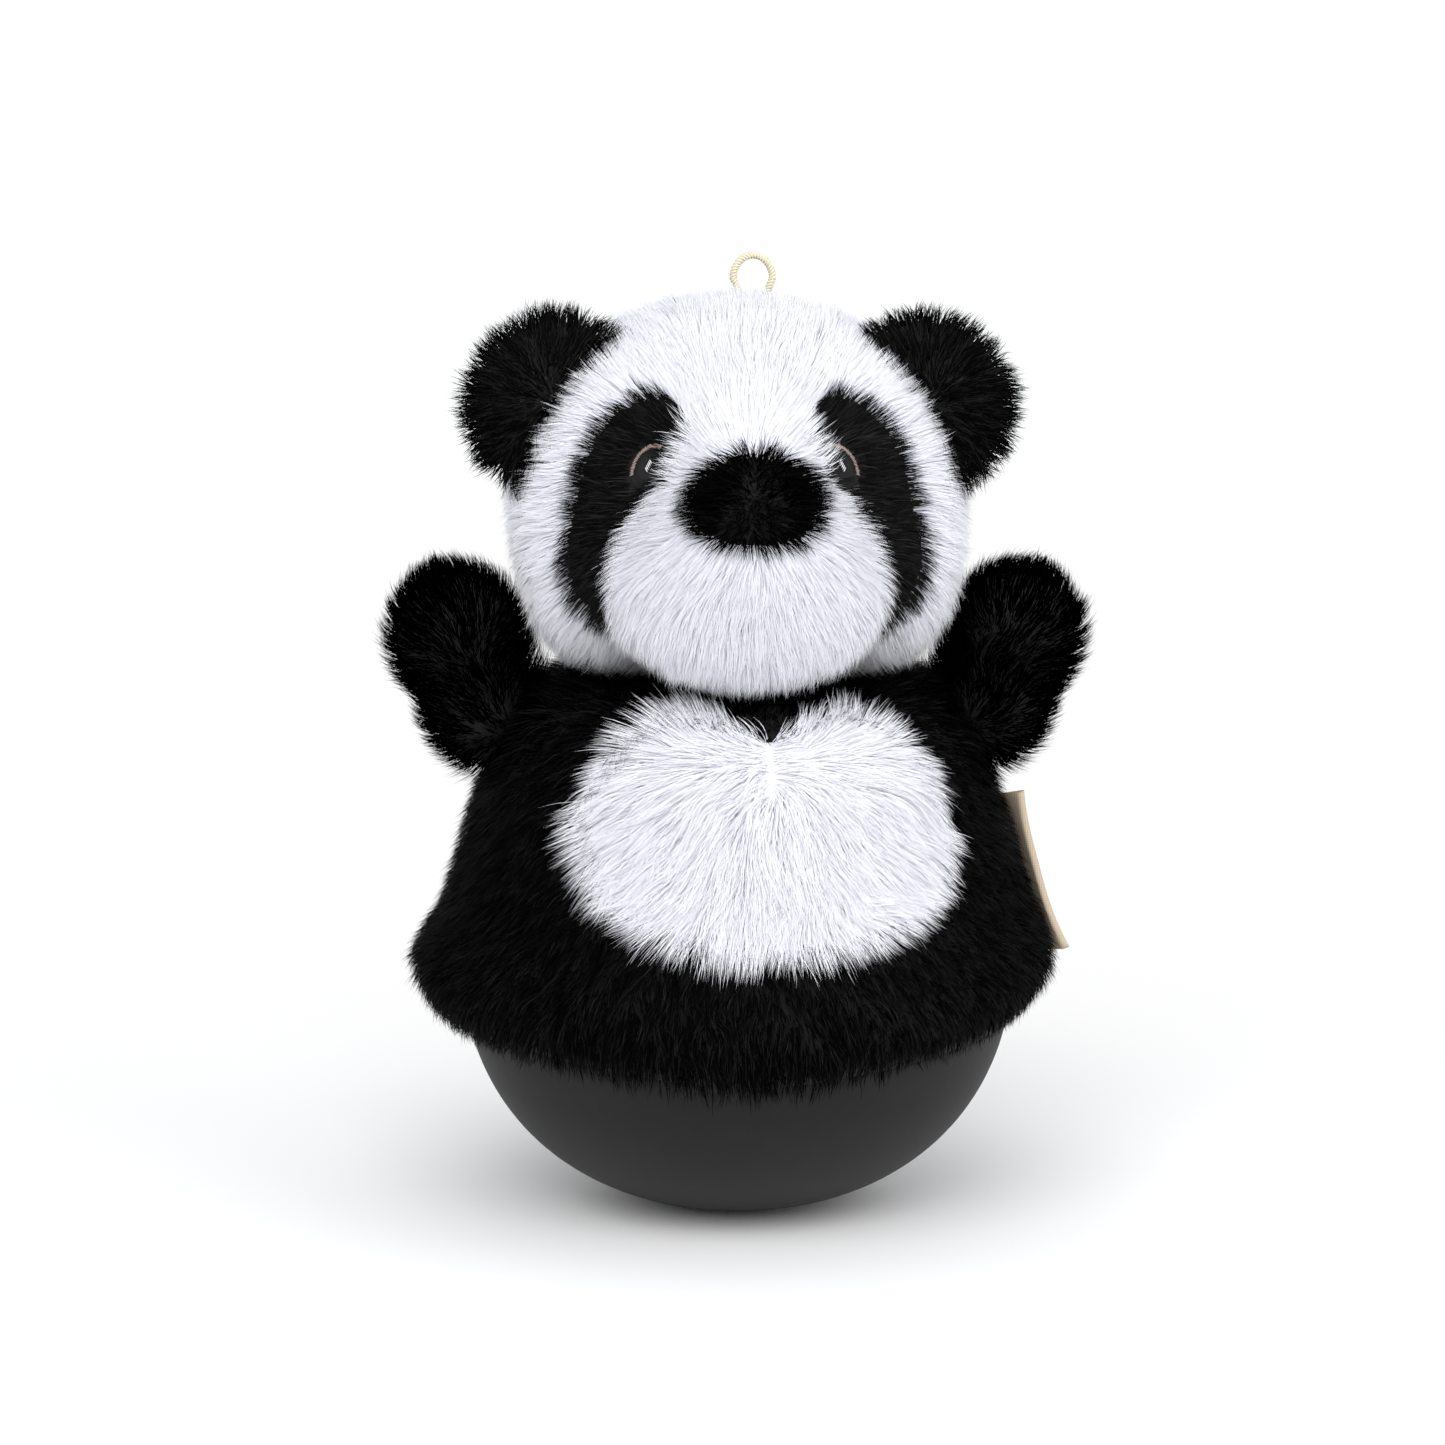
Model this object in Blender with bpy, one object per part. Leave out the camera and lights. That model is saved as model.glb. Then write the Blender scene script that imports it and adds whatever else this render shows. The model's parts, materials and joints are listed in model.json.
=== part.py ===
"""Plush panda on a round weighted base: every physical piece as its own closed solid.

Metres, +Z up. The panda faces -Y, and its left arm is at +X. The origin is the centre of the small
flat that the ball stands on. Fur panels are modelled as the space that backing and pile fill
together, so their outer faces lie where the combed pile ends.
"""

import math

import bmesh
import bpy
from mathutils import Matrix, Vector

# ---- driving dimensions -------------------------------------------------------------------------

BALL_RADIUS = 0.075
BALL_HALF_HEIGHT = 0.0695
BALL_SQUARENESS = 2.2  # 2 would be an ellipse; more makes the underside flatter
BALL_WALL = 0.003
REST_FLAT_RADIUS = 0.010
LIP_HEIGHT = 0.004
GAP = 0.0003  # between pieces that touch
SLIP = 0.0008  # between the ball and the cover that turns on it

BALLAST_RADIUS = 0.046
BALLAST_TOP = 0.026
BALLAST_CLEARANCE = 0.0012
SCREW_COUNT = 3
SCREW_CIRCLE_RADIUS = 0.026
BOSS_RADIUS = 0.0042
BOSS_FOOT = 0.0049  # within the ball's wall at the screw circle
SCREW_RADIUS = 0.0015
SCREW_HEAD_RADIUS = 0.0060
SCREW_HEAD_HEIGHT = 0.0024

FUR_THICKNESS = 0.0065  # backing and pile
LINING_THICKNESS = 0.0012
LINING_EDGE = 0.100  # height of the pocket lining's lower edge
ELASTIC_RADIUS = 0.0011
ELASTIC_HEIGHT = 0.0535
HEM_GROOVE_DEPTH = 0.0030

# Half outline of the body cover, hem to neck, as (distance from the axis, height).
BODY_OUTLINE = (
    (0.0800, 0.0480),
    (0.0850, 0.0545),
    (0.0860, 0.0630),
    (0.0825, 0.0780),
    (0.0770, 0.0950),
    (0.0715, 0.1140),
    (0.0650, 0.1290),
    (0.0560, 0.1385),
    (0.0450, 0.1435),
    (0.0340, 0.1460),
)
BODY_RINGS = 12
NECK_PIVOT = Vector((0.0, 0.0, 0.1565))
NECK_RADIUS = 0.0135

# Bulges that blend into the head: (centre, half axes). The cheek is mirrored to the other side.
SKULL = (Vector((0.0, 0.004, 0.1975)), Vector((0.062, 0.053, 0.0495)))
CHEEK = (Vector((0.030, -0.012, 0.1750)), Vector((0.028, 0.032, 0.0275)))
JOWL = (Vector((0.000, -0.049, 0.1690)), Vector((0.0355, 0.024, 0.0235)))
NOSE_BULGE = (Vector((0.0, -0.061, 0.1855)), Vector((0.020, 0.017, 0.0165)))
BRIDGE = (Vector((0.0, -0.044, 0.2060)), Vector((0.017, 0.015, 0.0170)))
HEAD_BLEND = 0.012
HEAD_CORE = Vector((0.0, -0.010, 0.190))  # every point of the head is in sight from here

NOSE_CENTRE = (0.0008, 0.1946)
NOSE_SIZE = (0.0165, 0.0112)
NOSE_TAPER = 0.16  # narrower at the top edge and wider at the bottom edge by this share
MUZZLE_CENTRE = (0.0, 0.1700)
MUZZLE_SIZE = (0.0360, 0.0300)  # below its centre; it is taller above
MUZZLE_TOP = 0.0400
# Left eye patch as (distance from the middle, height), its inner lower edge under the muzzle.
EYE_PATCH_OUTLINE = (
    (0.0150, 0.2145),
    (0.0250, 0.2215),
    (0.0370, 0.2150),
    (0.0440, 0.2020),
    (0.0468, 0.1890),
    (0.0488, 0.1760),
    (0.0440, 0.1660),
    (0.0330, 0.1600),
    (0.0265, 0.1640),
    (0.0245, 0.1820),
    (0.0205, 0.1990),
)
EYE_CENTRE = (0.0250, 0.2020)
EYE_SIZE = (0.0045, 0.0058)
EYE_LEAN = math.radians(-24)
EYE_THICKNESS = 0.0012
EYE_LIFT = 0.0010  # over the patch, whose facets stand out a little where the head is hollow
BELLY_CENTRE = (0.0052, 0.1120)
BELLY_SIZE = (0.0450, 0.0280)
BELLY_DIP = 0.0060
BELLY_TAPER = 0.06  # narrower at the top edge by this share
BELLY_SKEW = 0.0040  # the bottom edge is moved to its left by this much

SHOULDER = Vector((0.068, 0.0, 0.1360))
SHOULDER_RADIUS = 0.0175
HAND_CENTRE = Vector((0.0757, 0.0, 0.1562))
HAND_SIZE = Vector((0.0190, 0.0175, 0.0195))
ARM_BLEND = 0.005

EAR_CHORD_CENTRE = Vector((0.0475, -0.014, 0.2165))
EAR_LEAN = math.radians(55)  # of the ear's height from +Z, outwards
EAR_SIZE = Vector((0.0250, 0.0080, 0.0245))
EAR_CLEARANCE = 0.0030
EAR_WALL = 0.0028

LOOP_FOOT = Vector((0.0045, 0.006, 0.2490))
LOOP_CORD_RADIUS = 0.00095
LOOP_BEND_RADIUS = 0.0053
LOOP_LEG = 0.0030

LABEL_TOP = Vector((0.0733, 0.0, 0.1120))
LABEL_BOTTOM = Vector((0.0862, 0.0, 0.0700))
LABEL_WIDTH = 0.0065
LABEL_THICKNESS = 0.0024
LABEL_LAYER = 0.0007
LABEL_SWEEP = math.radians(-52)  # turned forwards from straight out

ROUND_STEPS = 32
FAR = 0.3

COLOURS = {
    "ball_black": ((0.022, 0.022, 0.023), 0.5, 0.0),
    "fur_white": ((0.86, 0.87, 0.91), 0.9, 0.0),
    "fur_black": ((0.010, 0.010, 0.012), 0.85, 0.0),
    "stuffing": ((0.90, 0.90, 0.88), 0.95, 0.0),
    "lining": ((0.04, 0.04, 0.045), 0.8, 0.0),
    "elastic": ((0.03, 0.03, 0.03), 0.7, 0.0),
    "cast_weight": ((0.16, 0.16, 0.17), 0.6, 0.9),
    "steel": ((0.62, 0.62, 0.64), 0.35, 1.0),
    "eye_thread": ((0.45, 0.34, 0.30), 0.6, 0.0),
    "cord": ((0.86, 0.84, 0.72), 0.8, 0.0),
    "label": ((0.70, 0.60, 0.47), 0.85, 0.0),
}


# ---- helpers ------------------------------------------------------------------------------------


def clear_scene():
    for obj in list(bpy.data.objects):
        bpy.data.objects.remove(obj, do_unlink=True)


def make_materials():
    made = {}
    for name, (colour, roughness, metallic) in COLOURS.items():
        material = bpy.data.materials.new(name)
        material.use_nodes = True
        shader = material.node_tree.nodes["Principled BSDF"]
        shader.inputs["Base Color"].default_value = (*colour, 1.0)
        shader.inputs["Roughness"].default_value = roughness
        shader.inputs["Metallic"].default_value = metallic
        made[name] = material
    return made


def pivot(name, at=Vector(), parent=None):
    """An empty on a joint's axis; the pieces that move with the joint are its children."""
    empty = bpy.data.objects.new(name, None)
    bpy.context.scene.collection.objects.link(empty)
    empty.parent = parent
    empty.location = at - (world_place(parent) if parent else Vector())
    return empty


def world_place(obj):
    place = Vector()
    while obj is not None:
        place += obj.location
        obj = obj.parent
    return place


def mesh_from(bm, name):
    """Triangles only, facing out, so that Booleans never meet a bent face."""
    bmesh.ops.triangulate(bm, faces=bm.faces)
    bmesh.ops.recalc_face_normals(bm, faces=bm.faces)
    mesh = bpy.data.meshes.new(name)
    bm.to_mesh(mesh)
    bm.free()
    return mesh


def add_piece(name, mesh, material, holder):
    """A node, from a mesh in world coordinates, with its own origin on its holder's pivot."""
    obj = bpy.data.objects.new(name, mesh)
    bpy.context.scene.collection.objects.link(obj)
    obj.data.transform(Matrix.Translation(-world_place(holder)))
    obj.parent = holder
    obj.data.materials.append(MATERIALS[material])
    obj.data.shade_smooth()
    obj.data.set_sharp_from_angle(angle=math.radians(40))
    return obj


def add_cutter(name, mesh):
    obj = bpy.data.objects.new(name, mesh)
    bpy.context.scene.collection.objects.link(obj)
    obj.hide_render = True
    obj.display_type = "WIRE"
    return obj


def boolean(obj, operation, other):
    modifier = obj.modifiers.new(f"{operation.lower()} {other.name}", "BOOLEAN")
    modifier.operation = operation
    modifier.object = other


def revolved(section, closed, angle=math.tau, start=0.0, full_steps=ROUND_STEPS):
    """A solid of revolution. A section that isn't closed begins and ends on the axis."""
    bm = bmesh.new()
    verts = [bm.verts.new((r, 0.0, z)) for r, z in section]
    edges = [bm.edges.new(pair) for pair in zip(verts, verts[1:])]
    full_turn = math.isclose(angle, math.tau)
    if closed:
        edges.append(bm.edges.new((verts[-1], verts[0])))
    if not full_turn:
        bm.faces.new(verts)
    bmesh.ops.rotate(bm, verts=verts, matrix=Matrix.Rotation(start, 3, "Z"))
    bmesh.ops.spin(
        bm,
        geom=verts + edges + list(bm.faces),
        axis=(0.0, 0.0, 1.0),
        cent=(0.0, 0.0, 0.0),
        angle=angle,
        steps=round(full_steps * angle / math.tau),
        use_merge=full_turn,
    )
    bmesh.ops.remove_doubles(bm, verts=bm.verts, dist=1e-7)
    return bm


def prism(outline, front, back):
    """A closed outline in X and Z, extruded along Y."""
    bm = bmesh.new()
    face = bm.faces.new([bm.verts.new((x, front, z)) for x, z in outline])
    made = bmesh.ops.extrude_face_region(bm, geom=[face])["geom"]
    moved = [v for v in made if isinstance(v, bmesh.types.BMVert)]
    bmesh.ops.translate(bm, verts=moved, vec=(0.0, back - front, 0.0))
    return bm


def ball_mesh(centre, radius, segments=24):
    bm = bmesh.new()
    bmesh.ops.create_uvsphere(
        bm,
        u_segments=segments,
        v_segments=segments // 2,
        radius=radius,
        matrix=Matrix.Translation(centre),
    )
    return mesh_from(bm, "ball")


def through(points, count):
    """Evenly indexed points on a smooth Catmull-Rom curve through the given ones."""
    ends = [2 * Vector(points[0]) - Vector(points[1])]
    knots = ends + [Vector(p) for p in points]
    knots.append(2 * knots[-1] - knots[-2])
    found = []
    for i in range(count + 1):
        place = i / count * (len(points) - 1)
        k = min(int(place), len(points) - 2)
        t = place - k
        a, b, c, d = knots[k : k + 4]
        cubic = 3 * b - 3 * c + d - a
        square = 2 * a - 5 * b + 4 * c - d
        found.append(0.5 * (2 * b + (c - a) * t + square * t * t + cubic * t**3))
    return found


def oval(centre, size, steps=28, power=2.3, lean=0.0):
    """A slightly squared oval in X and Z, leaning clockwise as seen from the front."""
    points = []
    for i in range(steps):
        turn = math.tau * i / steps
        x = size[0] * math.copysign(abs(math.cos(turn)) ** (2 / power), math.cos(turn))
        z = size[1] * math.copysign(abs(math.sin(turn)) ** (2 / power), math.sin(turn))
        along = (x * math.cos(lean) - z * math.sin(lean), x * math.sin(lean) + z * math.cos(lean))
        points.append((centre[0] + along[0], centre[1] + along[1]))
    return points


def mirrored(vector, side):
    return Vector((vector.x * side, vector.y, vector.z))


# ---- the ball -----------------------------------------------------------------------------------


def ball_radius(height, grown=0.0):
    """Radius of the ball's outside at a height, or of the same shape grown on all sides."""
    from_middle = abs(height - BALL_HALF_HEIGHT) / (BALL_HALF_HEIGHT + grown)
    if from_middle >= 1.0:
        return 0.0
    share = (1.0 - from_middle**BALL_SQUARENESS) ** (1.0 / BALL_SQUARENESS)
    return (BALL_RADIUS + grown) * share


def ball_arc(start, end, steps, grown=0.0):
    """Points on the grown ball outline between two heights, closer together near a pole."""
    half = BALL_HALF_HEIGHT + grown
    first, last = (math.asin((h - BALL_HALF_HEIGHT) / half) for h in (start, end))
    points = []
    for i in range(steps + 1):
        height = BALL_HALF_HEIGHT + half * math.sin(first + (last - first) * i / steps)
        points.append((ball_radius(height, grown), height))
    return points


def flat_cut_height():
    """Height of the ball outline where its radius is the rest flat's."""
    share = 1.0 - (REST_FLAT_RADIUS / BALL_RADIUS) ** BALL_SQUARENESS
    return BALL_HALF_HEIGHT * (1.0 - share ** (1.0 / BALL_SQUARENESS))


def build_ball(holder):
    """Two half shells with a lap joint at the middle. The lower one stands on a small flat."""
    middle = BALL_HALF_HEIGHT
    floor = flat_cut_height()
    inner_lip = BALL_RADIUS - BALL_WALL
    mid_lip = BALL_RADIUS - BALL_WALL / 2
    outside = ball_arc(floor, middle, 8)
    inside = ball_arc(middle, BALL_WALL, 8, -BALL_WALL)
    lip = [
        (mid_lip - GAP / 2, middle),
        (mid_lip - GAP / 2, middle + LIP_HEIGHT),
        (inner_lip, middle + LIP_HEIGHT),
    ]
    section = [(0.0, floor), *outside, *lip, *inside[:-1], (0.0, BALL_WALL)]
    bottom = add_piece(
        "ball_bottom_shell", mesh_from(revolved(section, False), "shell"), "ball_black", holder
    )
    for i, bore in enumerate(screw_places()):
        boss = cylinder(BOSS_RADIUS, BOSS_FOOT, BALLAST_TOP + GAP, bore)
        boolean(bottom, "UNION", add_cutter(f"boss_{i + 1}", boss))
    for i, bore in enumerate(screw_places()):
        hole = cylinder(SCREW_RADIUS, BALLAST_TOP / 2, FAR, bore)
        boolean(bottom, "DIFFERENCE", add_cutter(f"boss_bore_{i + 1}", hole))
    top_inside = ball_arc(2 * middle - BALL_WALL, middle + LIP_HEIGHT + GAP, 7, -BALL_WALL)
    top_outside = ball_arc(middle + GAP, 2 * middle, 8)
    seat = [
        (ball_radius(middle + LIP_HEIGHT + GAP, -BALL_WALL), middle + LIP_HEIGHT + GAP),
        (mid_lip + GAP / 2, middle + LIP_HEIGHT + GAP),
        (mid_lip + GAP / 2, middle + GAP),
    ]
    section = [(0.0, 2 * middle - BALL_WALL), *top_inside[1:-1], *seat, *top_outside[:-1]]
    section.append((0.0, 2 * middle))
    mesh = mesh_from(revolved(section, False), "shell")
    add_piece("ball_top_shell", mesh, "ball_black", holder)
    return floor


def screw_places():
    for i in range(SCREW_COUNT):
        turn = math.tau * i / SCREW_COUNT + math.pi / 2
        yield Vector((math.cos(turn), math.sin(turn), 0.0)) * SCREW_CIRCLE_RADIUS


def cylinder(radius, bottom, top, place, segments=12):
    bm = bmesh.new()
    middle = place + Vector((0.0, 0.0, (bottom + top) / 2))
    bmesh.ops.create_cone(
        bm,
        cap_ends=True,
        segments=segments,
        radius1=radius,
        radius2=radius,
        depth=top - bottom,
        matrix=Matrix.Translation(middle),
    )
    return mesh_from(bm, "cylinder")


def build_ballast(holder):
    """A cast weight that follows the bowl, held down by three flanged screws."""
    floor = BALL_WALL + BALLAST_CLEARANCE
    under = ball_arc(floor, BALLAST_TOP, 9, -floor)
    bottom_face = [p for p in under if p[0] < BALLAST_RADIUS]
    section = [(0.0, floor), *bottom_face[1:], (BALLAST_RADIUS, bottom_face[-1][1] + 0.002)]
    section += [(BALLAST_RADIUS, BALLAST_TOP - 0.002), (BALLAST_RADIUS - 0.002, BALLAST_TOP)]
    section.append((0.0, BALLAST_TOP))
    weight = add_piece(
        "ballast_weight", mesh_from(revolved(section, False), "weight"), "cast_weight", holder
    )
    for i, place in enumerate(screw_places()):
        hole = cylinder(BOSS_RADIUS + GAP, -FAR, FAR, place)
        boolean(weight, "DIFFERENCE", add_cutter(f"boss_clearance_{i + 1}", hole))
        under_head = BALLAST_TOP + 2 * GAP
        profile = [
            (0.0, BALLAST_TOP / 2 + 0.003),
            (SCREW_RADIUS - GAP, BALLAST_TOP / 2 + 0.004),
            (SCREW_RADIUS - GAP, under_head),
            (SCREW_HEAD_RADIUS, under_head),
            (SCREW_HEAD_RADIUS, under_head + SCREW_HEAD_HEIGHT / 3),
            (SCREW_HEAD_RADIUS * 0.55, under_head + SCREW_HEAD_HEIGHT),
            (0.0, under_head + SCREW_HEAD_HEIGHT),
        ]
        bm = revolved(profile, False, full_steps=12)
        bmesh.ops.translate(bm, verts=bm.verts, vec=place)
        add_piece(f"ballast_screw_{i + 1}", mesh_from(bm, "screw"), "steel", holder)


# ---- the body -----------------------------------------------------------------------------------


def inward(points, depth):
    """The outline moved towards the inside of the cover along its own normals."""
    moved = []
    for i, point in enumerate(points):
        before, after = points[max(i - 1, 0)], points[min(i + 1, len(points) - 1)]
        along = (after - before).normalized()
        moved.append(point + Vector((-along.y, along.x)) * depth)
    return moved


def cover_inner(points):
    """The cover's inside: a fur's thickness in, but always clear of the ball and of the lining."""
    inside = []
    for point in inward(points, FUR_THICKNESS):
        lined = point.y > LINING_EDGE - 0.006
        clearance = SLIP + LINING_THICKNESS + 3 * GAP if lined else SLIP
        inside.append(Vector((max(point.x, ball_radius(point.y, clearance)), point.y)))
    return inside


def body_section():
    """The cover's closed section, with a groove above the hem for the elastic."""
    outside = through(BODY_OUTLINE, BODY_RINGS)
    low, high = ELASTIC_HEIGHT - 0.0025, ELASTIC_HEIGHT + 0.0025
    hem = [(ball_radius(h, SLIP), h) for h in (outside[0].y + 0.0005, low)]
    groove = [(ball_radius(h, SLIP + HEM_GROOVE_DEPTH), h) for h in (low, high)]
    inside = [p for p in cover_inner(outside) if p.y > high + 0.004]
    above = (ball_radius(high, SLIP), high)
    return [*map(tuple, outside), *map(tuple, reversed(inside)), above, *reversed(groove), *reversed(hem)]


def build_body(holder, cutters):
    section = body_section()
    for name, start, shift in (("front", math.pi, -GAP / 2), ("back", 0.0, GAP / 2)):
        bm = revolved(section, True, math.pi, start)
        bmesh.ops.translate(bm, verts=bm.verts, vec=(0.0, shift, 0.0))
        mesh = mesh_from(bm, "body_cover")
        cover = add_piece(f"body_cover_{name}", mesh, "fur_black", holder)
        for cutter in cutters["arm_holes"]:
            boolean(cover, "DIFFERENCE", cutter)
        if name == "front":
            patch = add_piece("belly_patch", mesh.copy(), "fur_white", holder)
            patch.data.transform(Matrix.Translation(world_place(holder)))
            boolean(patch, "INTERSECT", cutters["belly"])
            boolean(cover, "DIFFERENCE", cutters["belly_opening"])
    build_hem_elastic(holder)
    build_lining(holder)
    build_body_stuffing(holder, cutters)


def build_hem_elastic(holder):
    radius = ball_radius(ELASTIC_HEIGHT, SLIP) + ELASTIC_RADIUS + GAP
    ring = []
    for i in range(6):
        turn = math.tau * i / 6
        ring.append(
            (radius + ELASTIC_RADIUS * math.cos(turn), ELASTIC_HEIGHT + ELASTIC_RADIUS * math.sin(turn))
        )
    add_piece("hem_elastic", mesh_from(revolved(ring, True), "elastic"), "elastic", holder)


def build_lining(holder):
    """The fabric pocket that holds the stuffing off the ball."""
    top = 2 * BALL_HALF_HEIGHT
    inner = ball_arc(LINING_EDGE, top + SLIP, 7, SLIP)
    outer = ball_arc(LINING_EDGE, top + SLIP + LINING_THICKNESS, 7, SLIP + LINING_THICKNESS)
    section = [(0.0, inner[-1][1]), *reversed(inner[:-1]), *outer[:-1], (0.0, outer[-1][1])]
    add_piece("ball_pocket_lining", mesh_from(revolved(section, False), "lining"), "lining", holder)


def build_body_stuffing(holder, cutters):
    """A ring of padding between the lining and the shoulders of the cover."""
    bed = SLIP + LINING_THICKNESS + GAP
    inset = inward(through(BODY_OUTLINE, BODY_RINGS), FUR_THICKNESS + GAP)
    outside = [p for p in inset if p.x > ball_radius(p.y, bed) + 0.0030 and p.y > LINING_EDGE]
    under = ball_arc(outside[0].y, outside[-1].y - 0.0015, 5, bed)
    section = [*under, *reversed([tuple(p) for p in outside])]
    stuffing = add_piece(
        "body_stuffing", mesh_from(revolved(section, True), "stuffing"), "stuffing", holder
    )
    for cutter in cutters["arm_holes"]:
        boolean(stuffing, "DIFFERENCE", cutter)


def build_neck(holder):
    mesh = ball_mesh(NECK_PIVOT, NECK_RADIUS, 20)
    add_piece("neck_stuffing", mesh, "stuffing", holder)


# ---- blended shapes -----------------------------------------------------------------------------


def bulge_distance(point, bulge):
    """Roughly how far a point is outside an ellipsoid; negative inside."""
    centre, axes = bulge
    scaled = Vector((point[i] - centre[i]) / axes[i] for i in range(3))
    steep = Vector(scaled[i] / axes[i] for i in range(3)).length
    length = scaled.length
    return length * (length - 1.0) / steep if steep > 1e-9 else -min(axes)


def blended(distances, blend):
    """Union of shapes with a fillet where they meet."""
    joined = distances[0]
    for other in distances[1:]:
        share = min(max(0.5 + 0.5 * (other - joined) / blend, 0.0), 1.0)
        joined = other * (1 - share) + joined * share - blend * share * (1 - share)
    return joined


def head_distance(point):
    folded = Vector((abs(point.x), point.y, point.z))
    return blended(
        [bulge_distance(folded, bulge) for bulge in (SKULL, CHEEK, JOWL, NOSE_BULGE, BRIDGE)], HEAD_BLEND
    )


def arm_distance(point):
    """The arm at +X, folded so that both arms use it."""
    folded = Vector((abs(point.x), point.y, point.z))
    root = (SHOULDER, Vector((SHOULDER_RADIUS,) * 3))
    return blended(
        [bulge_distance(folded, root), bulge_distance(folded, (HAND_CENTRE, HAND_SIZE))], ARM_BLEND
    )


def surface_bmesh(core, distance, depth, segments, rings):
    """A UV sphere drawn out from core to where distance(point) is -depth."""
    bm = bmesh.new()
    bmesh.ops.create_uvsphere(bm, u_segments=segments, v_segments=rings, radius=1.0)
    for vert in bm.verts:
        way = vert.co.normalized()
        near, far = 0.001, 0.12
        for _ in range(30):
            middle = (near + far) / 2
            if distance(core + way * middle) < -depth:
                near = middle
            else:
                far = middle
        vert.co = core + way * near
    return bm


def half_space(name, seam_y, front):
    """A block that fills one side of a seam plane, a little clear of it."""
    side = -1.0 if front else 1.0
    bm = bmesh.new()
    bmesh.ops.create_cube(bm, size=FAR)
    shift = seam_y + side * (FAR / 2 + GAP / 2)
    bmesh.ops.translate(bm, verts=bm.verts, vec=(0.0, shift, HEAD_CORE.z))
    return add_cutter(name, mesh_from(bm, name))


def add_shell(name, outside, hollow, half, material, holder):
    """One side of a hollow shell: the outside solid, less its hollow, within a half space."""
    shell = add_piece(name, outside.copy(), material, holder)
    boolean(shell, "DIFFERENCE", hollow)
    boolean(shell, "INTERSECT", half)
    return shell


# ---- the head -----------------------------------------------------------------------------------


def build_head(holder, cutters):
    """Fur panels cut from one blended shell, over stuffing."""
    outside = mesh_from(head_surface(), "head")
    hollow = add_cutter("head_hollow", mesh_from(head_surface(FUR_THICKNESS), "head_hollow"))
    front = half_space("front_of_head_seam", SKULL[0].y, True)
    behind = half_space("back_of_head_seam", SKULL[0].y, False)
    back = add_shell("head_cover_back", outside, hollow, behind, "fur_white", holder)
    face = add_shell("head_cover_front", outside, hollow, front, "fur_white", holder)
    muzzle = add_shell("muzzle_panel", outside, hollow, cutters["muzzle"], "fur_white", holder)
    nose = add_shell("nose_patch", outside, hollow, cutters["nose"], "fur_black", holder)
    boolean(muzzle, "DIFFERENCE", cutters["nose_opening"])
    boolean(face, "DIFFERENCE", cutters["muzzle_opening"])
    for side in ("left", "right"):
        region = cutters[f"eye_patch_{side}"]
        patch = add_shell(f"eye_patch_{side}", outside, hollow, region, "fur_black", holder)
        boolean(patch, "DIFFERENCE", cutters["muzzle_opening"])
        boolean(face, "DIFFERENCE", cutters[f"eye_opening_{side}"])
    for panel in (back, face):
        boolean(panel, "DIFFERENCE", cutters["neck"])
    stuffing_mesh = mesh_from(head_surface(FUR_THICKNESS + 6 * GAP), "head_stuffing")
    stuffing = add_piece("head_stuffing", stuffing_mesh, "stuffing", holder)
    boolean(stuffing, "DIFFERENCE", cutters["neck"])
    for side, sign in (("left", 1.0), ("right", -1.0)):
        build_eye(f"eye_{side}", sign, holder)


def head_surface(depth=0.0, segments=32, rings=20):
    return surface_bmesh(HEAD_CORE, head_distance, depth, segments, rings)


def front_of_head(x, z, outside):
    """The point of the head's front at x and z that lies the given distance outside it."""
    near, far = -0.15, HEAD_CORE.y
    for _ in range(36):
        middle = (near + far) / 2
        if head_distance(Vector((x, middle, z))) > outside:
            near = middle
        else:
            far = middle
    return Vector((x, near, z))


def build_eye(name, sign, holder):
    """An embroidered oval that lies on the eye patch."""
    bm = bmesh.new()
    layers = []
    for outside in (EYE_LIFT, EYE_LIFT + EYE_THICKNESS):
        rings = []
        for share in (1.0, 0.55):
            size = (EYE_SIZE[0] * share, EYE_SIZE[1] * share)
            outline = oval(EYE_CENTRE, size, 20, 2.0, EYE_LEAN)
            rings.append(
                [bm.verts.new(front_of_head(sign * x, z, outside)) for x, z in outline]
            )
        middle = bm.verts.new(front_of_head(sign * EYE_CENTRE[0], EYE_CENTRE[1], outside))
        layers.append((rings, middle))
    for rings, middle in layers:
        outer, inner = rings
        for i in range(len(outer)):
            j = (i + 1) % len(outer)
            bm.faces.new((outer[i], outer[j], inner[j], inner[i]))
            bm.faces.new((inner[i], inner[j], middle))
    lower, upper = layers[0][0][0], layers[1][0][0]
    for i in range(len(lower)):
        j = (i + 1) % len(lower)
        bm.faces.new((lower[i], lower[j], upper[j], upper[i]))
    add_piece(name, mesh_from(bm, name), "eye_thread", holder)


# ---- arms, ears, loop, label --------------------------------------------------------------------


def build_arm(side, sign, holder, halves):
    """Front and back fur panels round their stuffing, with a ball-shaped root in the arm hole."""
    core = mirrored((SHOULDER * 0.4 + HAND_CENTRE * 0.6), sign)
    outside = mesh_from(surface_bmesh(core, arm_distance, 0.0, 16, 10), "arm")
    inside = mesh_from(surface_bmesh(core, arm_distance, FUR_THICKNESS, 16, 10), "arm_hollow")
    hollow = add_cutter(f"arm_hollow_{side}", inside)
    for name, half in halves.items():
        add_shell(f"arm_{side}_{name}_panel", outside, hollow, half, "fur_black", holder)
    inside = surface_bmesh(core, arm_distance, FUR_THICKNESS + 2 * GAP, 16, 10)
    add_piece(f"arm_{side}_stuffing", mesh_from(inside, "arm_stuffing"), "stuffing", holder)


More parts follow.
